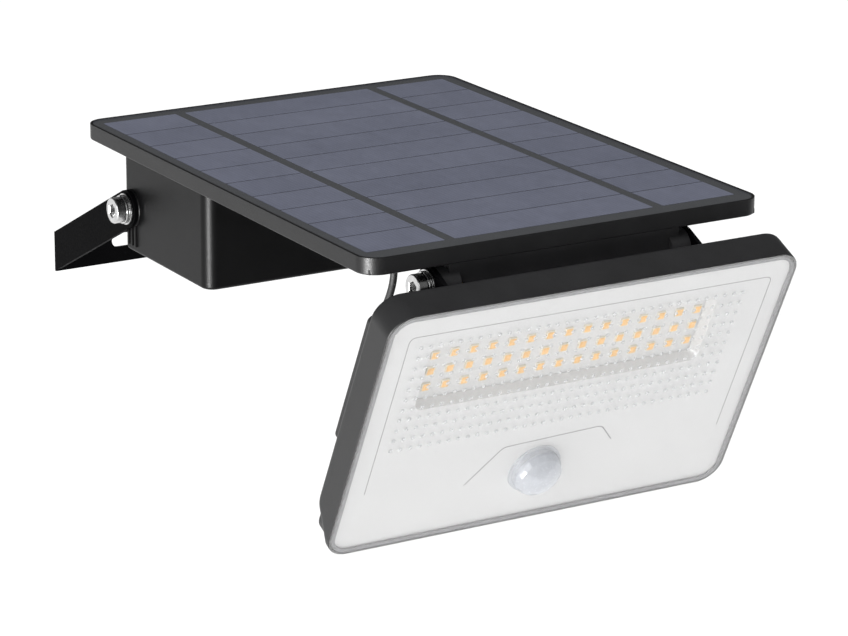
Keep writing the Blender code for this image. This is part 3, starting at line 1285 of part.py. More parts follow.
def make_lead(datum):
    """The two-core lead that bridges the head's hinge, held at both ends."""
    jacket = material("lead_jacket", (0.02, 0.02, 0.02), 0.6)
    points = lead_points()
    curve = bpy.data.curves.new("lamp_lead", "CURVE")
    curve.dimensions = "3D"
    curve.bevel_depth = LEAD_DIAMETER / 2
    curve.bevel_resolution = 2
    curve.use_fill_caps = True
    spline = curve.splines.new("POLY")
    spline.points.add(len(points) - 1)
    for point, (y, z) in zip(spline.points, points):
        point.co = (LEAD_X, y, z, 1)
    curve.materials.append(jacket)
    lead = bpy.data.objects.new("lamp_lead", curve)
    bpy.context.scene.collection.objects.link(lead)
    lead.parent = datum


def main():
    for obj in list(bpy.data.objects):
        bpy.data.objects.remove(obj, do_unlink=True)
    root = empty("wall_plate_centre", None, (0, 0, 0))
    tilt = empty("panel_tilt_axis", root, (0, -REAR_PIVOT_FROM_WALL, REAR_PIVOT_HEIGHT))
    datum = empty("panel_datum", tilt, (0, -REAR_PIVOT_Y, REAR_PIVOT_DROP))
    head = empty("head_tilt_axis", datum, (0, HEAD_PIVOT_INSET, -HEAD_PIVOT_DROP), HEAD_TILT)
    make_wall_bracket(root)
    make_panel_frame(datum)
    make_solar_laminate(datum)
    make_battery_box(datum)
    make_box_fittings(datum)
    make_battery_pack(datum)
    make_charge_board(datum)
    make_hinge_block(datum)
    make_head_pivots(datum)
    make_head_bracket(head)
    make_head_housing(head)
    make_reflector(head)
    make_led_board(head)
    make_lens(head)
    make_motion_sensor(head)
    make_bracket_screws(head)
    make_glands(datum, head)
    make_lead(datum)


main()
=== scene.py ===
"""Looks for the solar flood light, laid out as an add-on and run as a script.

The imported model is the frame. Panel pieces are worked out in the panel's own frame: x from the
middle, y from the front edge, z from the top face. Lamp head pieces are worked out about the
head's tilt axis: x across, v up along the face, n out of the face towards the front.
"""

import json
import math

import bmesh
import bpy
import numpy as np
from mathutils import Matrix, Vector


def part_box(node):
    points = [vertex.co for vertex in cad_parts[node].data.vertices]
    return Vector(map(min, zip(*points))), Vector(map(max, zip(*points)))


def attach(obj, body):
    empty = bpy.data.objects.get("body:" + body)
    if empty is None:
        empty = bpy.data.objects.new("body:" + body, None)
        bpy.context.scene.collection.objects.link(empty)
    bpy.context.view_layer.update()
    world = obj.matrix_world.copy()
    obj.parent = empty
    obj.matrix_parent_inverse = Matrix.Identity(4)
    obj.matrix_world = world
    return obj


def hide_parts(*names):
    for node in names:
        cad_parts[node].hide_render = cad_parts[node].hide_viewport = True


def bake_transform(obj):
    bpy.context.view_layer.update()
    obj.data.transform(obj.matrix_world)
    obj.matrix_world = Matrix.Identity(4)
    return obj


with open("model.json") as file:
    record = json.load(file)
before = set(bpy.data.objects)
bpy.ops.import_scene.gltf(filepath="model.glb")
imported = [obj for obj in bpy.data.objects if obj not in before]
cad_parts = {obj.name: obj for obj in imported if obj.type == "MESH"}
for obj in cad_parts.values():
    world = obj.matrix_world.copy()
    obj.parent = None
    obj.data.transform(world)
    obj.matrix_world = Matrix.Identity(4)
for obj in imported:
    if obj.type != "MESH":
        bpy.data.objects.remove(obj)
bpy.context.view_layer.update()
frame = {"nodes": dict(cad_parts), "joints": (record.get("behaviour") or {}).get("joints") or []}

bl_info = {
    "name": "Solar flood light",
    "version": (1, 0, 0),
    "blender": (4, 5, 0),
    "location": "3D View > Sidebar > Flood Light",
    "description": "Builds the visible pieces of a wall-mounted solar flood light",
    "category": "Object",
}

MM = 0.001
JOINT = {joint["name"]: joint for joint in frame["joints"]}
PANEL_LOW, PANEL_HIGH = (np.array(corner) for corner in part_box("panel_frame"))
WALL_PIVOT = np.array(JOINT["panel_tilt"]["pos_m"])
HEAD_PIVOT = np.array(JOINT["head_tilt"]["pos_m"])
HEAD_TILT = math.radians(25.4)
OUT = np.array((0, -math.cos(HEAD_TILT), -math.sin(HEAD_TILT)))
UP = np.array((0, -math.sin(HEAD_TILT), math.cos(HEAD_TILT)))
FACE = 33.4 * MM                   # from the tilt axis out to the housing's rim
TOP = 16.5 * MM                    # from the tilt axis up to the head's top edge
LAMPS_X = -6.5 * MM                # middle of the rows of lamps, across the head
LAMPS_V = -40.4 * MM               # middle of the rows of lamps, down the face
SENSOR_V = -110.9 * MM             # middle of the sensor, down the face
GLAND_V = -42 * MM                 # middle of the head's gland, down the back
COVER_FACE = 2.8 * MM              # front of the clear cover, before the housing's rim
TRAY_FACE = -1.0 * MM              # front of the reflector tray
WELL_FLOOR = -5.4 * MM             # floor of the lamp well
PAD_FACE = -21.5 * MM              # back of the raised pad
GLAND_LENGTH = 7 * MM              # the head's gland, from the pad to its tip
NOISE_SPAN = (0.3, 0.7)            # where most values of a noise texture lie
QUARTER = np.radians((0, 22.5, 45, 67.5, 90))


# ---------------------------------------------------------------- sizes and colours

def length(name, text, value):
    """A length that the user can change."""
    return bpy.props.FloatProperty(
        name=name, description=text, default=value, min=0, subtype="DISTANCE", unit="LENGTH", precision=5)


def colour(name, text, value):
    """A colour that the user can change."""
    return bpy.props.FloatVectorProperty(
        name=name, description=text, default=value, size=3, min=0, max=1, subtype="COLOR")


class PanelSettings(bpy.types.PropertyGroup):
    """Sizes of the solar panel, its box and its bracket."""

    width: length("Width", "Width of the panel", 210 * MM)
    depth: length("Depth", "Front to back length of the panel", 283 * MM)
    thickness: length("Thickness", "Thickness of the panel frame", 8 * MM)
    corner: length("Corner", "Corner radius of the panel", 10 * MM)
    lip: length("Lip", "Width of the rim round the laminate", 1.2 * MM)
    cell_gap: length("Cell gap", "Space between two rows of cells", 0.9 * MM)
    column_gap: length("Column gap", "Space between two columns of cells", 5.3 * MM)
    box_corner: length("Box corner", "Corner radius of the battery box", 6.5 * MM)


class HeadSettings(bpy.types.PropertyGroup):
    """Sizes of the lamp head."""

    width: length("Width", "Width of the head", 216 * MM)
    height: length("Height", "Height of the head's face", 143 * MM)
    depth: length("Depth", "Depth of the housing", 17 * MM)
    corner: length("Corner", "Corner radius of the head", 12 * MM)
    led_pitch: length("Lamp pitch", "Spacing of the lamps across the head", 9.93 * MM)
    led_row: length("Lamp rows", "Spacing of the rows of lamps", 9.28 * MM)
    bead_pitch: length("Bead pitch", "Spacing of the beads across the cover", 5.0 * MM)
    bead_row: length("Bead rows", "Spacing of the rows of beads", 6.1 * MM)
    dome_radius: length("Dome", "Radius of the sensor dome", 12.1 * MM)
    lead: length("Lead", "Diameter of the lamp lead", 3.3 * MM)


class FinishSettings(bpy.types.PropertyGroup):
    """Colours of the finishes."""

    plastic: colour("Plastic", "Moulded plastic of the panel, box and head", (0.018, 0.018, 0.019))
    steel_coat: colour("Bracket coat", "Powder coat of the brackets", (0.004, 0.004, 0.0045))
    cell: colour("Cells", "Solar cells", (0.066, 0.073, 0.112))
    sheet: colour("Backing", "Sheet round the cells", (0.017, 0.0175, 0.0150))
    white: colour("Tray", "Reflector tray", (0.76, 0.76, 0.76))
    amber: colour("Phosphor", "Lamp phosphor", (0.80, 0.41, 0.05))
    clear: colour("Cover", "Clear cover", (0.92, 0.92, 0.92))
    dome: colour("Dome", "Sensor dome", (0.60, 0.62, 0.66))
    steel: colour("Screws", "Bare steel", (0.60, 0.60, 0.60))


# ---------------------------------------------------------------- places

def on_panel(points):
    """Panel coordinates to the row frame: y starts at the panel's front edge, z at its top."""
    return np.asarray(points, float) + (0, PANEL_LOW[1], PANEL_HIGH[2])


def on_head(points):
    """Head coordinates (x, v, n) to the row frame.

    v runs up the face and is 0 at its top edge, and n runs out of it and is 0 at the housing's rim.
    """
    x, v, n = np.moveaxis(np.asarray(points, float), -1, 0)
    across = np.stack([x, np.zeros_like(x), np.zeros_like(x)], -1)
    return HEAD_PIVOT + across + (v + TOP)[..., None] * UP + (n + FACE)[..., None] * OUT


# ---------------------------------------------------------------- shapes

def rounded(points, radii, steps=8):
    """An outline with round corners: at each corner, an arc that leaves and meets its two edges.

    The arc's centre lies on the corner's bisector at radius / sin(half the corner's angle).
    """
    points = np.asarray(points, float)
    radii = np.broadcast_to(radii, len(points))
    before = np.roll(points, 1, 0) - points
    after = np.roll(points, -1, 0) - points
    before /= np.linalg.norm(before, axis=1)[:, None]
    after /= np.linalg.norm(after, axis=1)[:, None]
    half = np.arccos(np.clip((before * after).sum(1), -1, 1)) / 2
    bisector = before + after
    bisector /= np.linalg.norm(bisector, axis=1)[:, None]
    centre = points + bisector * (radii / np.sin(half))[:, None]
    first = points + before * (radii / np.tan(half))[:, None] - centre
    last = points + after * (radii / np.tan(half))[:, None] - centre
    turn = np.arctan2(first[:, 0] * last[:, 1] - first[:, 1] * last[:, 0], (first * last).sum(1))
    angle = np.linspace(0, 1, steps + 1)[None, :] * turn[:, None]
    c, s = np.cos(angle), np.sin(angle)
    x = first[:, :1] * c - first[:, 1:] * s
    y = first[:, :1] * s + first[:, 1:] * c
    return (np.stack([x, y], -1) + centre[:, None, :]).reshape(-1, 2)


def rectangle(x0, x1, y0, y1, radii, steps=8):
    """A round-cornered rectangle, counter-clockwise from its low corner."""
    return rounded([(x0, y0), (x1, y0), (x1, y1), (x0, y1)], radii, steps)


def circle(cx, cy, radius, like):
    """As many points on a circle as the outline has, each towards its partner on the outline."""
    away = np.asarray(like) - (cx, cy)
    angle = np.unwrap(np.arctan2(away[:, 1], away[:, 0]))
    even = angle[0] + np.sign(angle[-1] - angle[0]) * np.arange(len(angle)) * 2 * np.pi / len(angle)
    angle = even + (angle - even).mean()
    return np.stack([cx + radius * np.cos(angle), cy + radius * np.sin(angle)], -1)


def grid_faces(rows, columns, wrap_rows=False, wrap_columns=False):
    """Quads between the points of a grid, numbered row by row."""
    r = np.arange(rows if wrap_rows else rows - 1)
    c = np.arange(columns if wrap_columns else columns - 1)
    r, c = (a.ravel() for a in np.meshgrid(r, c, indexing="ij"))
    r1, c1 = (r + 1) % rows, (c + 1) % columns
    quads = [r * columns + c, r * columns + c1, r1 * columns + c1, r1 * columns + c]
    return np.stack(quads, -1)


class Surface:
    """Points and faces gathered from one or more surfaces, to be made one mesh."""

    def __init__(self):
        self.points = []
        self.faces = []
        self.count = 0

    def add(self, points, faces):
        """Adds points, as an array ending in x, y, z, and faces that number them."""
        points = np.asarray(points, float).reshape(-1, 3)
        self.points.append(points)
        self.faces += [tuple(int(i) + self.count for i in face) for face in faces]
        self.count += len(points)
        return self

    def loft(self, rings):
        """Rings of equal count, each joined to the next, closed at both ends."""
        rings = np.asarray(rings, float)
        rows, columns = rings.shape[:2]
        faces = [tuple(face) for face in grid_faces(rows, columns, wrap_columns=True)]
        faces.append(tuple(range(columns))[::-1])
        faces.append(tuple(range((rows - 1) * columns, rows * columns)))
        return self.add(rings, faces)

    def closed_loft(self, rings):
        """Rings joined in a loop, the last to the first, as round a tyre."""
        rings = np.asarray(rings, float)
        faces = grid_faces(rings.shape[0], rings.shape[1], wrap_rows=True, wrap_columns=True)
        return self.add(rings, faces)

    def make(self, name, material, body, *nodes, slot=None, angle=35, even=True):
        """The mesh object, which rides on a body and replaces CAD nodes."""
        mesh = bpy.data.meshes.new(name)
        mesh.from_pydata(np.concatenate(self.points), [], self.faces)
        piece = finish_piece(name, mesh, material, body, nodes, angle)
        if even:
            flatten_shading(piece)
        return piece


def flatten_shading(piece):
    """Lets broad faces shade flat up to their rounded edges, by weighing normals by area."""
    weighing = piece.modifiers.new("flat_shading", "WEIGHTED_NORMAL")
    weighing.keep_sharp = True
    weighing.weight = 100


def finish_piece(name, mesh, material, body, nodes=(), angle=35):
    """Links a mesh, points its faces outwards, smooths it and ties it to its body."""
    turn_outwards(mesh)
    mesh.shade_smooth()
    mesh.set_sharp_from_angle(angle=math.radians(angle))
    mesh.materials.clear()
    mesh.materials.append(material)
    piece = bpy.data.objects.new(name, mesh)
    bpy.context.scene.collection.objects.link(piece)
    if body:
        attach(piece, body)
    if nodes:
        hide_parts(*nodes)
    return piece


def turn_outwards(mesh):
    """Points every face out of its closed surface."""
    bm = bmesh.new()
    bm.from_mesh(mesh)
    bmesh.ops.remove_doubles(bm, verts=bm.verts[:], dist=1e-6)
    bmesh.ops.recalc_face_normals(bm, faces=bm.faces[:])
    bm.to_mesh(mesh)
    bm.free()


def cleaned(name, node, material, body, bevel):
    """A CAD node's shape as one welded mesh with its edges rounded by a bevel."""
    sharp = 40
    mesh = frame["nodes"][node].data.copy()
    piece = finish_piece(name, mesh, material, body, (node,), sharp)
    rounding = piece.modifiers.new("edge_rounding", "BEVEL")
    rounding.width = bevel
    rounding.segments = 2
    rounding.limit_method = "ANGLE"
    rounding.angle_limit = math.radians(sharp)
    rounding.harden_normals = True
    flatten_shading(piece)
    return piece


def turned_rings(profile, place, sides=48):
    """Rings of a turned piece: profile is (radius, height), and place maps (a, b, height)."""
    angle = np.arange(sides) * 2 * np.pi / sides
    profile = np.asarray(profile, float)
    a = profile[:, :1] * np.cos(angle)
    b = profile[:, :1] * np.sin(angle)
    h = np.broadcast_to(profile[:, 1:], a.shape)
    return place(a, b, h)


def along_x(y, z, side, start):
    """A place for turned pieces on a line along X: height runs outwards from start."""
    def place(a, b, h):
        return np.stack([side * (start + h), y + a, z + b], -1)
    return place


# ---------------------------------------------------------------- materials

def finish(name):
    """A finish that the finishes operator has made."""
    return bpy.data.materials["flood_" + name]


class Shader:
    """A Principled material with its nodes, wired by name."""

    def __init__(self, name, base, roughness, metallic=0.0, specular=0.5):
        self.material = bpy.data.materials.new("flood_" + name)
        self.material.use_nodes = True
        self.tree = self.material.node_tree
        self.principled = self.tree.nodes["Principled BSDF"]
        self.set("Base Color", (*base, 1))
        self.set("Roughness", roughness)
        self.set("Metallic", metallic)
        self.set("Specular IOR Level", specular)
        self.coordinates = self.tree.nodes.new("ShaderNodeTexCoord").outputs["Object"]

    def set(self, socket, value):
        """Sets a plain value on the shader."""
        self.principled.inputs[socket].default_value = value

    def node(self, kind, values=(), **links):
        """A node with its values, its inputs linked by name (spaces as underscores)."""
        made = self.tree.nodes.new("ShaderNode" + kind)
        for key, value in dict(values).items():
            if key in made.inputs:
                made.inputs[key].default_value = value
            else:
                setattr(made, key, value)
        for key, source in links.items():
            self.tree.links.new(made.inputs[key.replace("_", " ")], source)
        return made

    def link(self, source, socket):
        """Feeds one of the shader's sockets."""
        self.tree.links.new(self.principled.inputs[socket], source)

    def noise(self, scale, detail=4, roughness=0.5, vector=None):
        """Noise of that many features per metre."""
        values = {"Scale": scale, "Detail": detail, "Roughness": roughness}
        return self.node("TexNoise", values, Vector=vector or self.coordinates).outputs["Fac"]

    def between(self, source, low, high, span=(0.0, 1.0)):
        """A number that goes from low to high as the source goes over its span."""
        values = {"From Min": span[0], "From Max": span[1], "To Min": low, "To Max": high}
        return self.node("MapRange", values, Value=source).outputs["Result"]

    def mix(self, factor, first, second):
        """A colour between two: each is a colour or a socket."""
        made = self.tree.nodes.new("ShaderNodeMix")
        made.data_type = "RGBA"
        sockets = {"Factor": made.inputs[0], "A": made.inputs[6], "B": made.inputs[7]}
        for key, value in (("Factor", factor), ("A", first), ("B", second)):
            if isinstance(value, bpy.types.NodeSocket):
                self.tree.links.new(sockets[key], value)
            elif key == "Factor":
                sockets[key].default_value = value
            else:
                sockets[key].default_value = (*value, 1)
        return made.outputs[2]

    def maths(self, operation, first, second=None):
        """One sum on numbers or sockets."""
        made = self.tree.nodes.new("ShaderNodeMath")
        made.operation = operation
        for slot, value in enumerate((first, second)):
            if isinstance(value, bpy.types.NodeSocket):
                self.tree.links.new(made.inputs[slot], value)
            elif value is not None:
                made.inputs[slot].default_value = value
        return made.outputs[0]

    def bump(self, height, distance):
        """Bump from a height, in metres, fed to the shader's normal."""
        made = self.node("Bump", {"Strength": 1.0, "Distance": distance}, Height=height)
        self.link(made.outputs["Normal"], "Normal")


def varied(shader, base, share, scale):
    """A slow change of shade over a surface."""
    cloud = shader.between(shader.noise(scale, detail=3), 0, 1, NOISE_SPAN)
    dark = tuple(c * (1 - share) for c in base)
    light = tuple(min(1, c * (1 + share)) for c in base)
    shader.link(shader.mix(cloud, dark, light), "Base Color")


def moulded_plastic(name, base, roughness=0.42, specular=0.5):
    """Fine spark-eroded texture on moulded plastic."""
    shader = Shader(name, base, roughness, specular=specular)
    varied(shader, base, share=0.12, scale=60)
    grain = shader.noise(2600, detail=2, roughness=0.6)
    shader.link(shader.between(grain, roughness - 0.08, roughness + 0.10, NOISE_SPAN), "Roughness")
    shader.bump(grain, 0.06 * MM)
    return shader.material


def powder_coat(name, base):
    """Powder coat on sheet steel: a faint orange peel."""
    shader = Shader(name, base, 0.46, specular=0.01)
    varied(shader, base, share=0.15, scale=40)
    peel = shader.noise(900, detail=2, roughness=0.4)
    shader.link(shader.between(peel, 0.40, 0.56, NOISE_SPAN), "Roughness")
    shader.bump(peel, 0.08 * MM)
    return shader.material


def bare_steel(name, base, roughness=0.2):
    """Bright steel with fine turning marks."""
    shader = Shader(name, base, roughness, metallic=1.0)
    mark = shader.noise(1500, roughness=0.6)
    shader.link(shader.between(mark, roughness - 0.06, roughness + 0.10, NOISE_SPAN), "Roughness")
    varied(shader, base, share=0.10, scale=300)
    shader.bump(mark, 0.003 * MM)
    return shader.material


def solar_cell(name, base):
    """Cut silicon: soft crystal clouds, a tint for each cell, and fine printed lines."""
    finger_pitch = 2.1 * MM
    finger_share = 0.12
    silver = (0.36, 0.37, 0.42)
    shader = Shader(name, base, 0.32, specular=0.4)
    mapping = shader.node("Mapping", {"Scale": (1.0, 0.45, 1.0)}, Vector=shader.coordinates)
    stretched = mapping.outputs["Vector"]
    grains = shader.node("TexVoronoi", {"Scale": 420, "Randomness": 1.0}, Vector=stretched)
    shade = shader.node("SeparateColor", {}, Color=grains.outputs["Color"]).outputs["Red"]
    tint = shader.node("NewGeometry").outputs["Random Per Island"]
    cloud = shader.noise(48, detail=6, roughness=0.7, vector=stretched)
    mixed = shader.maths("ADD", shader.maths("MULTIPLY", shade, 0.22), shader.maths("MULTIPLY", cloud, 0.9))
    mixed = shader.maths("ADD", mixed, shader.maths("MULTIPLY", tint, 0.22))
    level = shader.between(mixed, 0, 1, (0.35, 1.05))
    dark = tuple(c * share for c, share in zip(base, (0.74, 0.76, 0.80)))
    light = tuple(c * share for c, share in zip(base, (1.34, 1.32, 1.26)))
    silicon = shader.mix(level, dark, light)
    axes = shader.node("SeparateXYZ", {}, Vector=shader.coordinates)
    fingers = shader.maths("FRACT", shader.maths("MULTIPLY", axes.outputs["X"], 1 / finger_pitch))
    finger = shader.maths("LESS_THAN", fingers, finger_share)
    printed = shader.mix(shader.maths("MULTIPLY", finger, 0.16), silicon, silver)
    shader.link(printed, "Base Color")
    shader.link(shader.between(shade, 0.30, 0.36), "Roughness")
    shader.set("Coat Weight", 0.2)
    shader.set("Coat Roughness", 0.22)
    return shader.material


def backing_sheet(name, base):
    """Dark sheet that shows between and round the cells."""
    shader = Shader(name, base, 0.5, specular=0.1)
    varied(shader, base, share=0.10, scale=90)
    shader.bump(shader.noise(1800, detail=2), 0.04 * MM)
    return shader.material


def see_through(name, base, alpha, roughness, specular=0.8):
    """A clear sheet: mostly what lies behind it, with a little of its own shade and gloss."""
    shader = Shader(name, base, roughness, specular=specular)
    ripple = shader.noise(700, detail=2)
    shader.link(shader.between(ripple, roughness * 0.7, roughness * 1.5, NOISE_SPAN), "Roughness")
    shader.bump(ripple, 0.01 * MM)
    shader.set("Alpha", alpha)
    return shader.material


def white_tray(name, base):
    """Satin white moulding."""
    shader = Shader(name, base, 0.42)
    varied(shader, base, share=0.015, scale=30)
    grain = shader.noise(1800, detail=2)
    shader.link(shader.between(grain, 0.36, 0.5, NOISE_SPAN), "Roughness")
    shader.bump(grain, 0.03 * MM)
    return shader.material


def phosphor(name, base):
    """Lamp phosphor: deep amber in the middle of grains of lighter amber, with a faint painted glow though
    the lamp is not lit.
    """
    shader = Shader(name, base, 0.30, specular=0.6)
    grain = shader.noise(1400, detail=3)
    lighter = tuple(min(1, c * 1.25 + 0.03) for c in base)
    shader.link(shader.mix(shader.between(grain, 0, 1, NOISE_SPAN), base, lighter), "Base Color")
    # Painted glow: the unlit phosphor gives off a faint light of its own colour.
    shader.set("Emission Color", (*base, 1))
    shader.set("Emission Strength", 0.18)
    shader.set("Coat Weight", 0.6)
    shader.bump(grain, 0.03 * MM)
    return shader.material


def milky_dome(name, base):
    """Translucent lens plastic."""
    shader = Shader(name, base, 0.22, specular=0.6)
    varied(shader, base, share=0.03, scale=200)
    ripple = shader.noise(900, detail=2)
    shader.link(shader.between(ripple, 0.16, 0.3, NOISE_SPAN), "Roughness")
    shader.bump(ripple, 0.02 * MM)
    shader.set("Coat Weight", 0.4)
    return shader.material


def matt_rubber(name, base):
    """Moulded rubber with a dusty sheen."""
    shader = Shader(name, base, 0.62)
    varied(shader, base, share=0.15, scale=120)
    grain = shader.noise(3000, detail=2)
    shader.link(shader.between(grain, 0.5, 0.72, NOISE_SPAN), "Roughness")
    shader.bump(grain, 0.05 * MM)
    return shader.material


def circuit_green(name):
    """Solder resist over faint copper tracks."""
    shader = Shader(name, (0.02, 0.13, 0.06), 0.4)
    tracks = shader.node("TexBrick", {
        "Scale": 220, "Color1": (0.018, 0.12, 0.055, 1), "Color2": (0.02, 0.14, 0.06, 1),
        "Mortar": (0.05, 0.24, 0.10, 1), "Mortar Size": 0.06,
    }, Vector=shader.coordinates)
    shader.link(tracks.outputs["Color"], "Base Color")
    shader.bump(tracks.outputs["Fac"], 0.03 * MM)
    return shader.material


def shrink_sleeve(name):
    """Printed plastic sleeve of a battery cell."""
    blue = (0.03, 0.14, 0.32)
    shader = Shader(name, blue, 0.3)
    varied(shader, blue, share=0.12, scale=80)
    shader.bump(shader.noise(500, detail=2), 0.04 * MM)
    return shader.material


# ---------------------------------------------------------------- panel pieces

def panel_outline(inset, steps=10):
    """The panel's outline moved in by inset."""
    p = bpy.context.scene.flood_panel
    half = p.width / 2 - inset
    return rectangle(-half, half, inset, p.depth - inset, max(p.corner - inset, 0.4 * MM), steps)


def level(outline, z):
    """An outline in the plane of the panel, at a height."""
    return np.column_stack([outline, np.full(len(outline), z)])


class FLOOD_OT_panel_frame(bpy.types.Operator):
    """Make the moulded panel frame with its rim, its seat and its ribbed underside"""

    bl_idname = "flood.panel_frame"
    bl_label = "Panel frame"

    def execute(self, context):
        p = context.scene.flood_panel
        plastic = finish("panel_plastic")
        edge = 0.7 * MM
        top = 0.3 * MM
        opening = 7.2 * MM
        seat = -1.7 * MM
        wall = 2.5 * MM
        profile = [(opening, -3.9 * MM), (opening, seat), (p.lip, seat), (p.lip, -top)]
        profile += [(p.lip - top + top * math.cos(a), -top + top * math.sin(a))
                    for a in np.radians((30, 60, 90))]
        profile += [(top - top * math.sin(a), -top + top * math.cos(a))
                    for a in np.radians((0, 30, 60, 90))]
        profile += [(edge - edge * math.cos(a), -p.thickness + edge - edge * math.sin(a)) for a in QUARTER]
        profile += [(wall, -p.thickness), (wall, -5.8 * MM)]
        rings = [on_panel(level(panel_outline(inset), z)) for inset, z in profile]
        tray = Surface().loft(rings).make(
            "panel_tray", plastic, "main", "panel_frame", slot="panel_plastic")
        # The rim's upward faces near the top get a darker, less glossy copy of the plastic: painted shade
        # on the top faces.
        tray.data.materials.append(finish("lip_plastic"))
        for polygon in tray.data.polygons:
            near_top = polygon.center.z > PANEL_HIGH[2] - 1.2 * top
            polygon.material_index = int(near_top and polygon.normal.z > 0.4)
        self.ribs(p, plastic)
        return {"FINISHED"}

    def ribs(self, p, plastic):
        """Ribs and lands under the tray: round-edged bars laid across its width and its length."""
        bars = Surface()
        low, high = -p.thickness, -5.7 * MM
        wall = 2.6 * MM
        rib = 2 * MM
        half = p.width / 2 - wall
        across = [(wall, 25 * MM), (75 * MM, 75 * MM + rib), (126 * MM, 126 * MM + rib)]
        across += [(178 * MM, p.depth - 7.5 * MM)]
        for y0, y1 in across:
            bars.loft(bar_rings(-half, half, y0, y1, low, high))
        for x in (-34 * MM, 34 * MM):
            bars.loft(bar_rings(x - rib / 2, x + rib / 2, 24 * MM, 180 * MM, low, high))
        bars.make("underside_ribs", plastic, "main", slot="panel_plastic")


def bar_rings(x0, x1, y0, y1, low, high):
    """A bar with its lower edges rounded: an outline that grows to full size as it rises."""
    r = 0.4 * MM
    steps = [(r, low), (0.3 * r, low + 0.3 * r), (0, low + r), (0, high)]
    rings = []
    for i, z in steps:
        rings.append(on_panel(level(rectangle(x0 + i, x1 - i, y0 + i, y1 - i, 0.5 * MM, 3), z)))
    return rings


class FLOOD_OT_solar_cells(bpy.types.Operator):
    """Make the solar cells on their backing sheet and the clear sheet over them"""

    bl_idname = "flood.solar_cells"
    bl_label = "Solar cells"
    front = 12.4 * MM              # from the panel's front edge to the first row
    pitch = 26.3 * MM              # from row to row
    half = 97.8 * MM               # half the width of all three columns
    middle = 52.65 * MM            # half the width of the middle column
    seat = -0.85 * MM              # the cells' underside, just in the backing's top

    def execute(self, context):
        p = context.scene.flood_panel
        inset = p.lip + 0.2 * MM
        backing = [(inset + 0.2 * MM, -1.4 * MM), (inset, -1.3 * MM), (inset, -0.8 * MM)]
        sheet = Surface().loft([on_panel(level(panel_outline(i), z)) for i, z in backing])
        sheet.make("cell_backing", finish("backing_sheet"), "main", slot="solar_cells")
        cells = Surface()
        for x0, x1, y0, y1 in self.places(p):
            steps = [(0, self.seat), (0, -0.68 * MM), (0.15 * MM, -0.6 * MM)]
            cells.loft([on_panel(level(rectangle(x0 + i, x1 - i, y0 + i, y1 - i, 0.4 * MM, 2), z))
                        for i, z in steps])
        cells.make("solar_cells", finish("solar_cell"), "main", "cell_sheet", slot="solar_cells")
        gaps = Surface()
        for x0, x1, y0, y1 in self.places(p):
            if y0 > self.front + self.pitch:
                strip = rectangle(x0, x1, y0 - p.cell_gap, y0, 0.1 * MM, 1)
                gaps.loft([on_panel(level(strip, z)) for z in (self.seat, -0.76 * MM)])
        gaps.make("row_gaps", finish("row_gap"), "main", slot="solar_cells")
        film = [(inset, -0.3 * MM), (inset, -0.14 * MM)]
        film += [(inset + 0.05 * MM, -0.08 * MM), (inset + 0.15 * MM, -0.05 * MM)]
        cover = Surface().loft([on_panel(level(panel_outline(i), z)) for i, z in film])
        cover.make(
            "panel_cover_sheet", finish("panel_glazing"), "main", "panel_glazing", slot="panel_glazing")
        return {"FINISHED"}

    def places(self, p):
        """Edges of every cell: three columns, the middle one widest, and ten rows."""
        half = self.half
        side = half - self.middle - p.column_gap
        columns = ((-half, -half + side), (-self.middle, self.middle), (half - side, half))
        for row in range(10):
            y = self.front + row * self.pitch + p.cell_gap / 2
            for x0, x1 in columns:
                yield x0, x1, y, y + self.pitch - p.cell_gap


def box_outline(inset, steps=8):
    """The battery box's outline moved in by inset."""
    p = bpy.context.scene.flood_panel
    low, high = (np.array(corner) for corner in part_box("box_gasket"))
    out = 0.5 * MM - inset             # the gasket lies that much inside the box's outline
    front, back = low[1] - PANEL_LOW[1], high[1] - PANEL_LOW[1]
    return rectangle(low[0] - out, high[0] + out, front - out, back + out, p.box_corner - inset, steps)


class FLOOD_OT_battery_box(bpy.types.Operator):
    """Make the battery box with its pivot pads, ribs and the opening for the mode button"""

    bl_idname = "flood.battery_box"
    bl_label = "Battery box"

    def execute(self, context):
        plastic = finish("box_plastic")
        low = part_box("battery_box")[0].z - PANEL_HIGH[2]
        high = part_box("battery_box")[1].z - PANEL_HIGH[2]
        button = (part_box("mode_button")[0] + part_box("mode_button")[1]) / 2
        hole_x, hole_y = button.x, button.y - PANEL_LOW[1]
        r = 1.6 * MM
        wall = 2.5 * MM
        chamfer = 0.3 * MM
        rings = [level(box_outline(wall), low + wall), level(box_outline(wall), high)]
        rings += [level(box_outline(chamfer), high), level(box_outline(0), high - chamfer)]
        for a in QUARTER:
            rings.append(level(box_outline(r - r * math.cos(a)), low + r - r * math.sin(a)))
        mouth = circle(hole_x, hole_y, 6.6 * MM, box_outline(r))
        opening = circle(hole_x, hole_y, 6.35 * MM, box_outline(r))
        rings += [level(mouth, low), level(opening, low + chamfer), level(opening, low + wall)]
        shell = Surface().closed_loft([on_panel(ring) for ring in rings])
        self.fittings(shell)
        shell.make("box_shell", plastic, "main", "battery_box", slot="panel_plastic")
        return {"FINISHED"}

    def fittings(self, shell):
        """Round pads at the pivots, and three upright ribs below each."""
        outer = 91 * MM
        thick = 1.25 * MM
        y, z = WALL_PIVOT[1], WALL_PIVOT[2]
        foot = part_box("battery_box")[0].z + 3.2 * MM
        pad = [(9.4 * MM, 0), (9.4 * MM, 0.9 * MM), (9.1 * MM, thick), (0.1 * MM, thick)]
        for side in (-1, 1):
            shell.loft(turned_rings(pad, along_x(y, z, side, outer - thick)))
            for k in (-1, 0, 1):
                shell.loft(rib_rings(side, outer, y + k * 3.8 * MM, 0.9 * MM, foot, z))


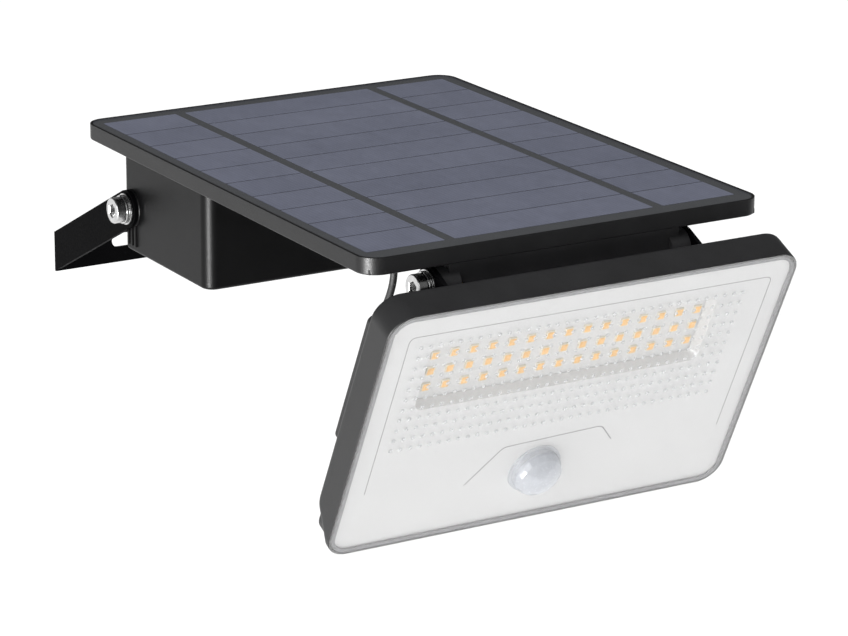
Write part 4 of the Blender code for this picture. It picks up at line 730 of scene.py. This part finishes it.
def rib_rings(side, outer, y, half, low, high):
    """An upright rib: its outline shrinks at its round outer edge."""
    steps = [(0, -1.4 * MM), (0, -0.4 * MM), (0.15 * MM, -0.1 * MM), (0.4 * MM, 0)]
    rings = []
    for inset, x in steps:
        ring = rectangle(y - half + inset, y + half - inset, low + inset, high - inset, 0.4 * MM, 3)
        rings.append(np.column_stack([np.full(len(ring), side * (outer + x)), ring]))
    return rings


class FLOOD_OT_mode_button(bpy.types.Operator):
    """Make the rubber mode button in the box's floor"""

    bl_idname = "flood.mode_button"
    bl_label = "Mode button"

    def execute(self, context):
        low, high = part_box("mode_button")
        cx, cy = (low.x + high.x) / 2, (low.y + high.y) / 2
        cap, edge, flange, stem = 6 * MM, 0.8 * MM, 7.4 * MM, 2 * MM
        flange_low, flange_high = 3.9 * MM, 5.2 * MM
        profile = [(0.05 * MM, 0.35 * MM), (2.2 * MM, 0.25 * MM), (4.4 * MM, 0)]
        profile += [(cap - edge + edge * math.sin(a), edge - edge * math.cos(a)) for a in QUARTER]
        profile += [(cap, flange_low), (flange, flange_low), (flange, flange_high), (stem, flange_high)]
        profile += [(stem, high.z - low.z)]

        def place(a, b, h):
            return np.stack([cx + a, cy + b, low.z + h], -1)
        Surface().loft(turned_rings(profile, place)).make(
            "button_cap", finish("rubber"), "button", "mode_button", slot="seal_rubber")
        return {"FINISHED"}


class FLOOD_OT_brackets(bpy.types.Operator):
    """Make the wall bracket, the head bracket and the hinge block"""

    bl_idname = "flood.brackets"
    bl_label = "Brackets"

    def execute(self, context):
        coat = finish("powder_coat")
        cleaned("wall_strap", "wall_bracket", coat, "wall_bracket", 0.35 * MM)
        cleaned("head_strap", "head_bracket", coat, "head", 0.35 * MM)
        # The hinge bar gets a lighter copy of the plastic: painted light lifting the shade it sits in.
        cleaned("hinge_bar", "hinge_block", finish("block_plastic"), "main", 0.4 * MM)
        return {"FINISHED"}


# ---------------------------------------------------------------- fasteners

SHANK = 16                         # millimetres of screw or pin below its head


def hexagon(flat, sides):
    """Evenly turned points on a hexagon: flat / cos(the angle from the nearest flat's middle)."""
    angle = np.arange(sides) * 2 * np.pi / sides
    local = (angle + np.pi / 6) % (np.pi / 3) - np.pi / 6
    reach = flat / np.cos(local)
    return reach * np.cos(angle), reach * np.sin(angle)


def socket_head(surface, y, z, side, start):
    """A socket screw's head and shank, with a hexagonal socket in the head."""
    sides = 60
    place = along_x(y, z, side, start)
    profile = [(4, -SHANK), (4, 0), (6.2, 0), (6.5, 0.3), (6.5, 3.9), (6.4, 4.25), (6.2, 4.5), (5.9, 4.6)]
    rings = [turned_rings(np.array(profile) * MM, place, sides)]
    for flat, depth in ((3.35, 4.6), (3.0, 4.25), (3.0, 0.6)):
        a, b = hexagon(flat * MM, sides)
        rings.append(place(a, b, np.full(sides, depth * MM))[None])
    rings.append(place(0.3 * a, 0.3 * b, np.full(sides, 0.1 * MM))[None])
    surface.loft(np.concatenate(rings))


def flat_washer(surface, y, z, side, start):
    """A washer: its round-cornered section carried round the axis."""
    section = rectangle(4.3 * MM, 7.9 * MM, 0, 1.2 * MM, 0.2 * MM, 2)
    surface.closed_loft(turned_rings(section, along_x(y, z, side, start)))


def spring_washer(surface, y, z, side, start):
    """A split washer: its section carried round most of a turn, a little open at the split."""
    section = rectangle(4.4 * MM, 7.2 * MM, 0, 1.5 * MM, 0.25 * MM, 2)
    split, half_gap = 90, 6
    angle = np.radians(np.linspace(split + half_gap, split + 360 - half_gap, 61))
    lean = np.linspace(-0.04, 0.04, len(angle)) * MM
    place = along_x(y, z, side, start)
    a = section[None, :, 0] * np.cos(angle)[:, None]
    b = section[None, :, 0] * np.sin(angle)[:, None]
    h = section[None, :, 1] + lean[:, None] + 0.05 * MM
    surface.loft(place(a, b, h))


class FLOOD_OT_pivot_screws(bpy.types.Operator):
    """Make the socket screws and washers of the pivots, and the flush pin on the right"""

    bl_idname = "flood.pivot_screws"
    bl_label = "Pivot screws"

    def execute(self, context):
        steel = finish("steel")
        places = {
            "wall_pivot_left": (-1, WALL_PIVOT),
            "wall_pivot_right": (1, WALL_PIVOT),
            "head_pivot_left": (-1, HEAD_PIVOT),
        }
        kinds = {"flat_washer": flat_washer, "spring_washer": spring_washer, "screw": socket_head}
        for prefix, (side, pivot) in places.items():
            for kind, build in kinds.items():
                node = f"{prefix}_{kind}"
                low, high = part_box(node)
                start = min(abs(low.x), abs(high.x)) + (SHANK * MM if kind == "screw" else 0)
                surface = Surface()
                build(surface, pivot[1], pivot[2], side, start)
                surface.make(f"{node}_detailed", steel, "main", node, slot="stainless", angle=28)
        profile = [(4, -SHANK), (4, 0), (5.7, 0), (6, 0.3), (6, 0.8)]
        profile += [(5.6, 1.15), (4.6, 1.35), (2.4, 1.4), (0.05, 1.4)]
        place = along_x(HEAD_PIVOT[1], HEAD_PIVOT[2], 1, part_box("head_pivot_pin")[0].x + SHANK * MM)
        Surface().loft(turned_rings(np.array(profile) * MM, place)).make(
            "flush_pin", steel, "main", "head_pivot_pin", slot="stainless")
        return {"FINISHED"}


# ---------------------------------------------------------------- lamp head pieces

def head_outline(inset, bottom=None, steps=10, corner=None):
    """The head's outline moved in by inset, its bottom edge moved up by bottom."""
    h = bpy.context.scene.flood_head
    half = h.width / 2 - inset
    low = -h.height + (inset if bottom is None else bottom)
    radius = max((h.corner if corner is None else corner) - inset, 0.5 * MM)
    return rectangle(-half, half, low, -inset, radius, steps)


def face(outline, n):
    """An outline parallel to the head's face, n before the housing's rim."""
    return np.column_stack([outline, np.full(len(outline), n)])


class FLOOD_OT_head_housing(bpy.types.Operator):
    """Make the head's black shell and the raised pad on its back"""

    bl_idname = "flood.head_housing"
    bl_label = "Head housing"

    def execute(self, context):
        h = context.scene.flood_head
        plastic = finish("head_plastic")
        inside = [(2.2, -14), (2.2, -2.6), (1.2, -2.5), (1.2, -0.2), (1.0, 0), (0.3, 0), (0, -0.3)]
        rings = [face(head_outline(inset * MM), n * MM) for inset, n in inside]
        rings += self.back(h)
        shell = Surface().loft([on_head(ring) for ring in rings])
        shell.make("head_shell", plastic, "head", "head_housing", slot="head_plastic")
        self.pad(plastic)
        return {"FINISHED"}

    def back(self, h):
        """Rings towards the back: the bottom leans in, then all edges turn over in a quarter round."""
        start = 0.18 * h.depth
        bottom_lean = 14 * MM
        turn = 3 * MM
        depths = list(np.linspace(start, h.depth - turn, 8))
        depths += [h.depth - turn + turn * math.sin(a) for a in np.radians((15, 30, 45, 60, 75, 90))]
        rings = []
        for d in depths:
            over = max(0.0, d - (h.depth - turn))
            curl = turn - math.sqrt(max(0.0, turn ** 2 - over ** 2))
            lean = max(0.0, (d - start) / (h.depth - start)) * bottom_lean
            half = h.width / 2 - curl
            low = -h.height + lean + curl
            rings.append(face(rectangle(-half, half, low, -curl, h.corner - curl / 2, 10), -d))
        return rings

    def pad(self, plastic):
        """The raised pad, notched at the top for the strap."""
        right = 105 * MM
        notch = 70.2 * MM
        top, step, bottom = -16 * MM, -27.7 * MM, -88 * MM
        corners = [(-right, bottom), (right, bottom), (right, top), (notch, top), (notch, step),
                   (-notch, step), (-notch, top), (-right, top)]
        radii = np.array((3, 3, 3, 1.5, 1.5, 1.5, 1.5, 3)) * MM
        inwards = np.array([(1, 1), (-1, 1), (-1, -1), (1, -1), (1, -1), (-1, -1), (-1, -1), (1, -1)])
        rings = []
        for inset, below in ((0, 5), (0, 0.6), (0.15, 0.2), (0.6, 0)):
            moved = np.array(corners) + inwards * inset * MM
            outline = rounded(moved, radii - 0.3 * inset * MM, 5)
            rings.append(on_head(face(outline, PAD_FACE + below * MM)))
        Surface().loft(rings).make("back_pad", plastic, "head", slot="head_plastic")


def well_outline(grow, steps=6):
    """The lamp well's floor moved out by grow."""
    h = bpy.context.scene.flood_head
    half_x = 7 * h.led_pitch + 3.4 * MM + grow
    half_v = h.led_row + 7 * MM + grow
    return rectangle(LAMPS_X - half_x, LAMPS_X + half_x, LAMPS_V - half_v, LAMPS_V + half_v,
                     2 * MM + grow, steps)


class FLOOD_OT_reflector(bpy.types.Operator):
    """Make the white tray with its lamp well and the grey strips painted as the shade of its engraved lines
    """

    bl_idname = "flood.reflector"
    bl_label = "Reflector tray"

    def execute(self, context):
        outer = head_outline(1.5 * MM, steps=6)
        rings = [face(outer, -2.15 * MM), face(outer, TRAY_FACE - 0.05 * MM)]
        well = [(3.0 * MM, TRAY_FACE), (2.6 * MM, -1.15 * MM), (0.2 * MM, -5.0 * MM), (0, WELL_FLOOR)]
        well += [(1.2 * MM, WELL_FLOOR), (3.4 * MM, -2.2 * MM)]
        rings += [face(well_outline(grow), n) for grow, n in well]
        Surface().closed_loft([on_head(ring) for ring in rings]).make(
            "reflector_tray", finish("white_tray"), "head", "reflector", slot="white_plastic")
        self.lines()
        return {"FINISHED"}

    def lines(self):
        """Painted shade of the engraved lines: thin grey strips, swept along their paths on the tray's
        face.
        """
        grey = finish("engraved_line")
        frame_line = [(-95.1, -107), (-95.1, -13.9), (96.1, -13.9), (96.1, -106)]
        sensor_line = [(-41.3, -113.7), (-25.6, -93.6), (27.0, -91.6), (35.0, -101.6)]
        strips = Surface()
        strips.loft(strip_rings(np.array(frame_line) * MM, 3.5 * MM, 0.22 * MM))
        strips.loft(strip_rings(np.array(sensor_line) * MM, 2.5 * MM, 0.30 * MM))
        strips.make("engraved_lines", grey, "head", slot="white_plastic")


def strip_rings(corners, radius, half):
    """A low strip along a bent line: its small section is carried along, square to the line."""
    path = [corners[0]]
    for before, corner, after in zip(corners, corners[1:], corners[2:]):
        a = corner + (before - corner) / np.linalg.norm(before - corner) * radius
        b = corner + (after - corner) / np.linalg.norm(after - corner) * radius
        t = np.linspace(0, 1, 7)[:, None]
        path += list((1 - t) ** 2 * a + 2 * t * (1 - t) * corner + t ** 2 * b)
    path = np.array(path + [corners[-1]])
    along = np.gradient(path, axis=0)
    along /= np.linalg.norm(along, axis=1)[:, None]
    across = np.stack([-along[:, 1], along[:, 0]], -1)
    low, high = TRAY_FACE - 0.02 * MM, TRAY_FACE + 0.04 * MM
    section = ((-half, low), (half, low), (half * 0.5, high), (-half * 0.5, high))
    rings = [np.column_stack([path + offset * across, np.full(len(path), n)]) for offset, n in section]
    return on_head(np.stack(rings, 1))


class FLOOD_OT_lamps(bpy.types.Operator):
    """Make the lamp board with its light-emitting diodes"""

    bl_idname = "flood.lamps"
    bl_label = "Lamps"

    def execute(self, context):
        h = context.scene.flood_head
        rings = [on_head(face(well_outline(8 * MM), n)) for n in (-7.4 * MM, -5.85 * MM)]
        Surface().loft(rings).make(
            "lamp_board", finish("white_tray"), "head", "led_board", slot="led_board")
        case = ((0, -5.9), (0, -5.15), (0.12, -5.02), (0.55, -5.02))
        gem = ((0, -5.12), (0, -4.95), (0.25, -4.8), (0.9, -4.66))
        bodies, gems = Surface(), Surface()
        for row in (-1, 0, 1):
            for column in range(-7, 8):
                x = LAMPS_X + column * h.led_pitch
                v = LAMPS_V + row * h.led_row
                bodies.loft(tile_rings(x, v, 2.1, 2.3, case))
                gems.loft(tile_rings(x, v, 1.62, 1.85, gem))
        bodies.make("lamp_cases", finish("lamp_case"), "head", slot="led_board")
        gems.make("lamp_phosphor", finish("phosphor"), "head", slot="led_board")
        return {"FINISHED"}


def tile_rings(x, v, half_x, half_v, steps):
    """A small square tile whose outline shrinks as it rises; half sizes and steps in millimetres."""
    rings = []
    for inset, n in steps:
        a, b = (half_x - inset) * MM, (half_v - inset) * MM
        rings.append(on_head(face(rectangle(x - a, x + a, v - b, v + b, 0.25 * MM, 1), n * MM)))
    return rings


def sensor_x():
    """The middle of the sensor, across the head."""
    low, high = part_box("sensor_dome")
    return (low.x + high.x) / 2


class FLOOD_OT_cover(bpy.types.Operator):
    """Make the clear cover with its beads, and the grey seal behind its edge"""

    bl_idname = "flood.cover"
    bl_label = "Clear cover"

    def execute(self, context):
        h = context.scene.flood_head
        x, v = sensor_x(), SENSOR_V
        hole = h.dome_radius + 0.4 * MM
        inset = 0.25 * MM
        under = 0.35 * MM
        outer = head_outline(inset)
        b = 0.8 * MM
        rings = [face(outer, under), face(outer, under + 0.1 * MM), face(outer, COVER_FACE - b)]
        rings += [face(head_outline(inset + b - b * math.cos(a)), COVER_FACE - b + b * math.sin(a))
                  for a in np.radians((20, 40, 60, 75, 90))]
        opening = circle(x, v, hole, outer)
        rings += [face(circle(x, v, hole + 0.2 * MM, outer), COVER_FACE)]
        rings += [face(opening, COVER_FACE - 0.2 * MM), face(opening, under)]
        Surface().closed_loft([on_head(ring) for ring in rings]).make(
            "cover_sheet", finish("clear_cover"), "head", "lens_cover", slot="clear_plastic")
        self.beads(h)
        seal = []
        for inset, n in ((1.6, -0.9), (1.6, 0.0), (1.8, 0.15), (3.2, 0.15), (3.4, 0), (3.4, -0.9)):
            seal.append(on_head(face(head_outline(inset * MM), n * MM)))
        Surface().closed_loft(seal).make(
            "cover_seal", finish("seal_grey"), "head", "lens_seal", slot="seal_rubber")
        return {"FINISHED"}

    def beads(self, h):
        """Rows of low beads under the cover's face: each a spherical cap over an eight-sided ring."""
        columns = np.arange(35) * h.bead_pitch - 88.7 * MM
        rows = -19.9 * MM - np.arange(11) * h.bead_row
        turn = np.arange(8) * np.pi / 4
        profile = ((1.15 * MM, -0.05 * MM), (1.0 * MM, 0.12 * MM), (0.55 * MM, 0.28 * MM))
        beads = Surface()
        for v in rows:
            for x in columns:
                beads.loft([on_head(face(np.column_stack([x + r * np.cos(turn), v + r * np.sin(turn)]), n))
                            for r, n in profile])
        beads.make("cover_beads", finish("bead"), "head", slot="clear_plastic", angle=60, even=False)


class FLOOD_OT_sensor(bpy.types.Operator):
    """Make the faceted dome of the motion sensor"""

    bl_idname = "flood.sensor"
    bl_label = "Motion sensor"

    def execute(self, context):
        h = context.scene.flood_head
        cx, cv = sensor_x(), SENSOR_V
        rise = 7.5 * MM
        sides, steps = 72, 20
        turn = np.arange(sides) * 2 * np.pi / sides
        lift = np.linspace(0, 0.97, steps)[:, None] * np.pi / 2
        way = np.stack([np.cos(lift) * np.cos(turn), np.cos(lift) * np.sin(turn),
                        np.broadcast_to(np.sin(lift), (steps, sides))], -1)
        cut = self.facets(way)[..., None]
        cap = (cx, cv, COVER_FACE) + way * (h.dome_radius, h.dome_radius, rise) * cut
        collar = []
        for r, n in ((13.6, -2.0), (13.6, -0.1), (12.15, 0.0), (12.1, 2.0)):
            collar.append(np.stack([cx + r * MM * np.cos(turn), cv + r * MM * np.sin(turn),
                                    np.full(sides, n * MM)], -1))
        rings = np.concatenate([np.array(collar), cap])
        Surface().loft(on_head(rings)).make(
            "faceted_dome", finish("dome"), "head", "sensor_dome",
            slot="dome_plastic", angle=9, even=False)
        return {"FINISHED"}

    def facets(self, way):
        """How far each direction is cut back: flat facets, each square to its own centre line.

        A facet's plane stands at a share of the radius, so a direction d is cut at
        that share / (d . c) for the facet centre c nearest to it, and never past the radius.
        """
        share = 0.982
        centres = [(0.0, 90.0)]
        for count, height, shift in ((6, 62, 0), (12, 38, 0.5), (18, 16, 0)):
            centres += [(360 * (k + shift) / count, height) for k in range(count)]
        turn, rise = np.radians(np.array(centres)).T
        axes = np.stack([np.cos(rise) * np.cos(turn), np.cos(rise) * np.sin(turn), np.sin(rise)], -1)
        nearest = (way @ axes.T).max(-1)
        return np.minimum(1.0, share / nearest)


class FLOOD_OT_lead(bpy.types.Operator):
    """Make the lamp lead and the rubber glands at its two ends"""

    bl_idname = "flood.lead"
    bl_label = "Lamp lead"

    def execute(self, context):
        h = context.scene.flood_head
        rubber = finish("rubber")
        low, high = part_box("panel_gland")
        x, y = (low.x + high.x) / 2, (low.y + high.y) / 2

        def upright(a, b, height):
            return np.stack([x + a, y + b, high.z - height], -1)
        profile = [(0.1, 0), (4.0, 0), (4.15, 0.2), (4.15, 1.0), (3.7, 1.3), (3.1, 1.7)]
        profile += [(2.9, 2.2), (2.6, 2.6), (2.5, 3.2), (2.3, 3.4), (0.1, 3.4)]
        Surface().loft(turned_rings(np.array(profile) * MM, upright)).make(
            "panel_gland_boot", rubber, "main", "panel_gland", slot="seal_rubber")
        profile = [(0.1, 0), (4.4, 0), (4.55, 0.2), (4.55, 1.9), (4.3, 2.3)]
        for k in range(4):
            r = 3.9 - 0.32 * k
            profile += [(r, 2.7 + k), (r, 3.2 + k), (r - 0.45, 3.35 + k), (r - 0.45, 3.6 + k)]
        profile += [(2.3, 7.0), (0.1, 7.0)]
        seat = PAD_FACE - 0.3 * MM

        def backwards(a, b, height):
            return on_head(np.stack([x + a, GLAND_V + b, seat - height], -1))
        Surface().loft(turned_rings(np.array(profile) * MM, backwards)).make(
            "head_gland_boot", rubber, "head", "head_gland", slot="seal_rubber")
        self.lead(x, y, low.z, h)
        return {"FINISHED"}

    def lead(self, x, y, top, h):
        """The lead: a quadratic curve down from the panel, then another round to the head's gland."""
        bend = 8.5 * MM
        tip_n = PAD_FACE - GLAND_LENGTH - 0.6 * MM
        start = np.array((y, top - 0.3 * MM))
        tip = on_head((x, GLAND_V, tip_n))[1:]
        corner = on_head((x, GLAND_V, tip_n - bend))[1:]
        above = on_head((x, GLAND_V + bend, tip_n - bend))[1:]
        pull = start - (0, 0.35 * np.linalg.norm(start - above))
        t = np.linspace(0, 1, 25)[:, None]
        first = (1 - t) ** 2 * start + 2 * t * (1 - t) * pull + t ** 2 * above
        second = (1 - t) ** 2 * above + 2 * t * (1 - t) * corner + t ** 2 * tip
        path = np.concatenate([first, second[1:]])
        path = np.column_stack([np.full(len(path), x), path])
        along = np.gradient(path, axis=0)
        along /= np.linalg.norm(along, axis=1)[:, None]
        side = np.array((1.0, 0, 0))
        up = np.cross(along, side)
        sides = 20
        turn = np.arange(sides)[:, None] * 2 * np.pi / sides
        section = np.cos(turn) * side + np.sin(turn) * up[:, None, :]
        rings = path[:, None, :] + h.lead / 2 * section
        piece = Surface().loft(rings).make("lead", finish("rubber"), None, even=False)
        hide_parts("lamp_lead")
        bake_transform(piece)


class FLOOD_OT_inner_pieces(bpy.types.Operator):
    """Give the enclosed boards, cells, screws and seals their finishes"""

    bl_idname = "flood.inner_pieces"
    bl_label = "Inner pieces"

    def execute(self, context):
        finishes = {
            "battery_cell": "shrink_sleeve", "charge_board": "circuit", "sensor_board": "circuit",
            "sensor_can": "steel", "battery_holder": "box_plastic", "mode_switch": "box_plastic",
            "box_gasket": "rubber", "box_screw": "steel", "block_screw": "steel",
            "strap_screw": "steel", "led_board_screw": "steel",
        }
        for node, piece in frame["nodes"].items():
            look = "brass" if node.endswith("_insert") else None
            for start, name in finishes.items():
                if node.startswith(start):
                    look = name
            if look is None:
                continue
            piece.data.materials.clear()
            piece.data.materials.append(finish(look))
        return {"FINISHED"}


# ---------------------------------------------------------------- finishes and stage

class FLOOD_OT_finishes(bpy.types.Operator):
    """Make every finish from the colours in the settings"""

    bl_idname = "flood.finishes"
    bl_label = "Finishes"

    def execute(self, context):
        f = context.scene.flood_finish
        mouldings = {
            "panel_plastic": (0.9, 0.40, 0.28),
            # lighter copy of the plastic for the hinge bar: painted light on its shaded faces
            "block_plastic": (2.2, 0.40, 0.5),
            "box_plastic": (0.5, 0.36, 0.12),
            # darker copy of the plastic for the rim's top faces: painted shade
            "lip_plastic": (0.5, 0.5, 0.08),
            "head_plastic": (0.85, 0.46, 0.45),
        }
        for name, (shade, roughness, specular) in mouldings.items():
            moulded_plastic(name, tuple(c * shade for c in f.plastic), roughness, specular)
        powder_coat("powder_coat", tuple(f.steel_coat))
        solar_cell("solar_cell", tuple(f.cell))
        backing_sheet("backing_sheet", tuple(f.sheet))
        backing_sheet("row_gap", (0.004, 0.004, 0.005))
        see_through("panel_glazing", (0.50, 0.52, 0.60), alpha=0.04, roughness=0.28, specular=0.4)
        white_tray("white_tray", tuple(f.white))
        white_tray("lamp_case", (0.85, 0.76, 0.58))
        # grey strips that paint the shade of the engraved lines
        white_tray("engraved_line", (0.20, 0.20, 0.20))
        phosphor("phosphor", tuple(f.amber))
        see_through("clear_cover", tuple(f.clear), alpha=0.14, roughness=0.10)
        see_through("bead", (0.78, 0.79, 0.80), alpha=0.55, roughness=0.12)
        milky_dome("dome", tuple(f.dome))
        matt_rubber("seal_grey", (0.21, 0.21, 0.22))
        matt_rubber("rubber", (0.018, 0.018, 0.018))
        bare_steel("steel", tuple(f.steel))
        bare_steel("brass", (0.72, 0.53, 0.24), roughness=0.3)
        circuit_green("circuit")
        shrink_sleeve("shrink_sleeve")
        return {"FINISHED"}


class FLOOD_OT_stage(bpy.types.Operator):
    """Make the camera, the floor and the studio lights"""

    bl_idname = "flood.stage"
    bl_label = "Studio"

    def execute(self, context):
        self.camera(context)
        self.floor()
        self.dark_card()
        self.sky(3.3)
        self.light("left_box", (-1.5, -1.1, 0.9), (0, -0.25, 0.0), 1.0, 8.8)
        self.light("front_box", (-0.3, -2.4, -0.1), (0, -0.30, 0.0), 1.2, 9.5, glossy=False)
        box_edge = (-0.09, -0.165, 0.045)
        self.light("corner_strip", (-1.07, -0.76, -0.25), box_edge, 0.30, 42, diffuse=False)
        world = bpy.data.worlds.new("studio")
        context.scene.world = world
        world.use_nodes = True
        background = world.node_tree.nodes["Background"].inputs
        background["Color"].default_value = (1, 1, 1, 1)
        background["Strength"].default_value = 0.14
        context.scene.view_settings.view_transform = "Standard"
        return {"FINISHED"}

    def camera(self, context):
        """The camera: its place and its own right, up and back directions in the row frame."""
        place = (-0.82574, -1.60507, 0.51075)
        right = np.array((0.86004, -0.51018, 0.00661))
        up = np.array((0.14621, 0.25885, 0.95479))
        back = np.cross(right, up)
        data = bpy.data.cameras.new("camera")
        data.lens = 149.08
        data.sensor_width = 36
        data.clip_start = 0.05
        data.clip_end = 50
        camera = bpy.data.objects.new("camera", data)
        context.scene.collection.objects.link(camera)
        turn = Matrix([[right[i], up[i], back[i]] for i in range(3)]).to_4x4()
        turn.translation = place
        camera.matrix_world = turn
        context.scene.camera = camera

    def floor(self):
        """A flat, pale floor well below the light."""
        reach = np.linspace(-8, 8, 33)
        x, y = np.meshgrid(reach, reach)
        points = np.stack([x, y, np.full_like(x, -0.45)], -1).reshape(-1, 3)
        faces = [tuple(face) for face in grid_faces(len(reach), len(reach))]
        paint = Shader("pale_floor", (0.92, 0.92, 0.92), 0.9, specular=0.1).material
        self.backdrop("floor", points, faces, paint)

    def dark_card(self):
        """A dark card over the front of the floor, seen only in reflections."""
        x0, x1, y0, y1, z = -0.9, 4, -4.5, -0.8, -0.43
        paint = Shader("card", (0.02, 0.02, 0.02), 0.9, specular=0.0).material
        corners = [(x0, y0, z), (x1, y0, z), (x1, y1, z), (x0, y1, z)]
        card = self.backdrop("dark_card", corners, [(0, 1, 2, 3)], paint)
        card.visible_camera = card.visible_diffuse = False
        card.visible_shadow = card.visible_transmission = False

    def backdrop(self, name, points, faces, paint):
        """A sheet that belongs to the studio and not to the light."""
        mesh = bpy.data.meshes.new(name)
        mesh.from_pydata(points, [], faces)
        mesh.materials.append(paint)
        sheet = bpy.data.objects.new(name, mesh)
        bpy.context.scene.collection.objects.link(sheet)
        return sheet

    def sky(self, strength):
        """A broad even light from straight above."""
        data = bpy.data.lights.new("sky", "SUN")
        data.angle = math.radians(70)
        data.energy = strength
        light = bpy.data.objects.new("sky", data)
        bpy.context.scene.collection.objects.link(light)
        light.visible_glossy = False

    def light(self, name, place, aim, size, power, glossy=True, diffuse=True):
        """A soft square light aimed at a point."""
        data = bpy.data.lights.new(name, "AREA")
        data.size = size
        data.energy = power
        light = bpy.data.objects.new(name, data)
        bpy.context.scene.collection.objects.link(light)
        light.visible_glossy = glossy
        light.visible_diffuse = diffuse
        light.location = place
        light.rotation_mode = "QUATERNION"
        light.rotation_quaternion = (Vector(aim) - Vector(place)).to_track_quat("-Z", "Y")


OPERATORS = (
    FLOOD_OT_stage, FLOOD_OT_finishes, FLOOD_OT_lead, FLOOD_OT_panel_frame, FLOOD_OT_solar_cells,
    FLOOD_OT_battery_box, FLOOD_OT_mode_button, FLOOD_OT_brackets, FLOOD_OT_pivot_screws,
    FLOOD_OT_head_housing, FLOOD_OT_reflector, FLOOD_OT_lamps, FLOOD_OT_cover, FLOOD_OT_sensor,
    FLOOD_OT_inner_pieces,
)


class FLOOD_PT_pieces(bpy.types.Panel):
    """Lists the light's pieces, with their sizes and colours"""

    bl_label = "Solar flood light"
    bl_idname = "FLOOD_PT_pieces"
    bl_space_type = "VIEW_3D"
    bl_region_type = "UI"
    bl_category = "Flood Light"

    def draw(self, context):
        layout = self.layout
        for operator in OPERATORS:
            layout.operator(operator.bl_idname)
        for group in (context.scene.flood_panel, context.scene.flood_head, context.scene.flood_finish):
            box = layout.box()
            for key in group.bl_rna.properties.keys():
                if key not in ("rna_type", "name"):
                    box.prop(group, key)


SETTINGS = {"flood_panel": PanelSettings, "flood_head": HeadSettings, "flood_finish": FinishSettings}


def register():
    """Registers the settings, the operators and the panel."""
    for name, group in SETTINGS.items():
        bpy.utils.register_class(group)
        setattr(bpy.types.Scene, name, bpy.props.PointerProperty(type=group))
    for operator in OPERATORS:
        bpy.utils.register_class(operator)
    bpy.utils.register_class(FLOOD_PT_pieces)


def unregister():
    """Takes everything off again, in the opposite order."""
    bpy.utils.unregister_class(FLOOD_PT_pieces)
    for operator in reversed(OPERATORS):
        bpy.utils.unregister_class(operator)
    for name, group in SETTINGS.items():
        delattr(bpy.types.Scene, name)
        bpy.utils.unregister_class(group)


def main():
    """Builds the whole light."""
    register()
    for operator in OPERATORS:
        group, name = operator.bl_idname.split(".")
        getattr(getattr(bpy.ops, group), name)()


if __name__ == "__main__":
    main()
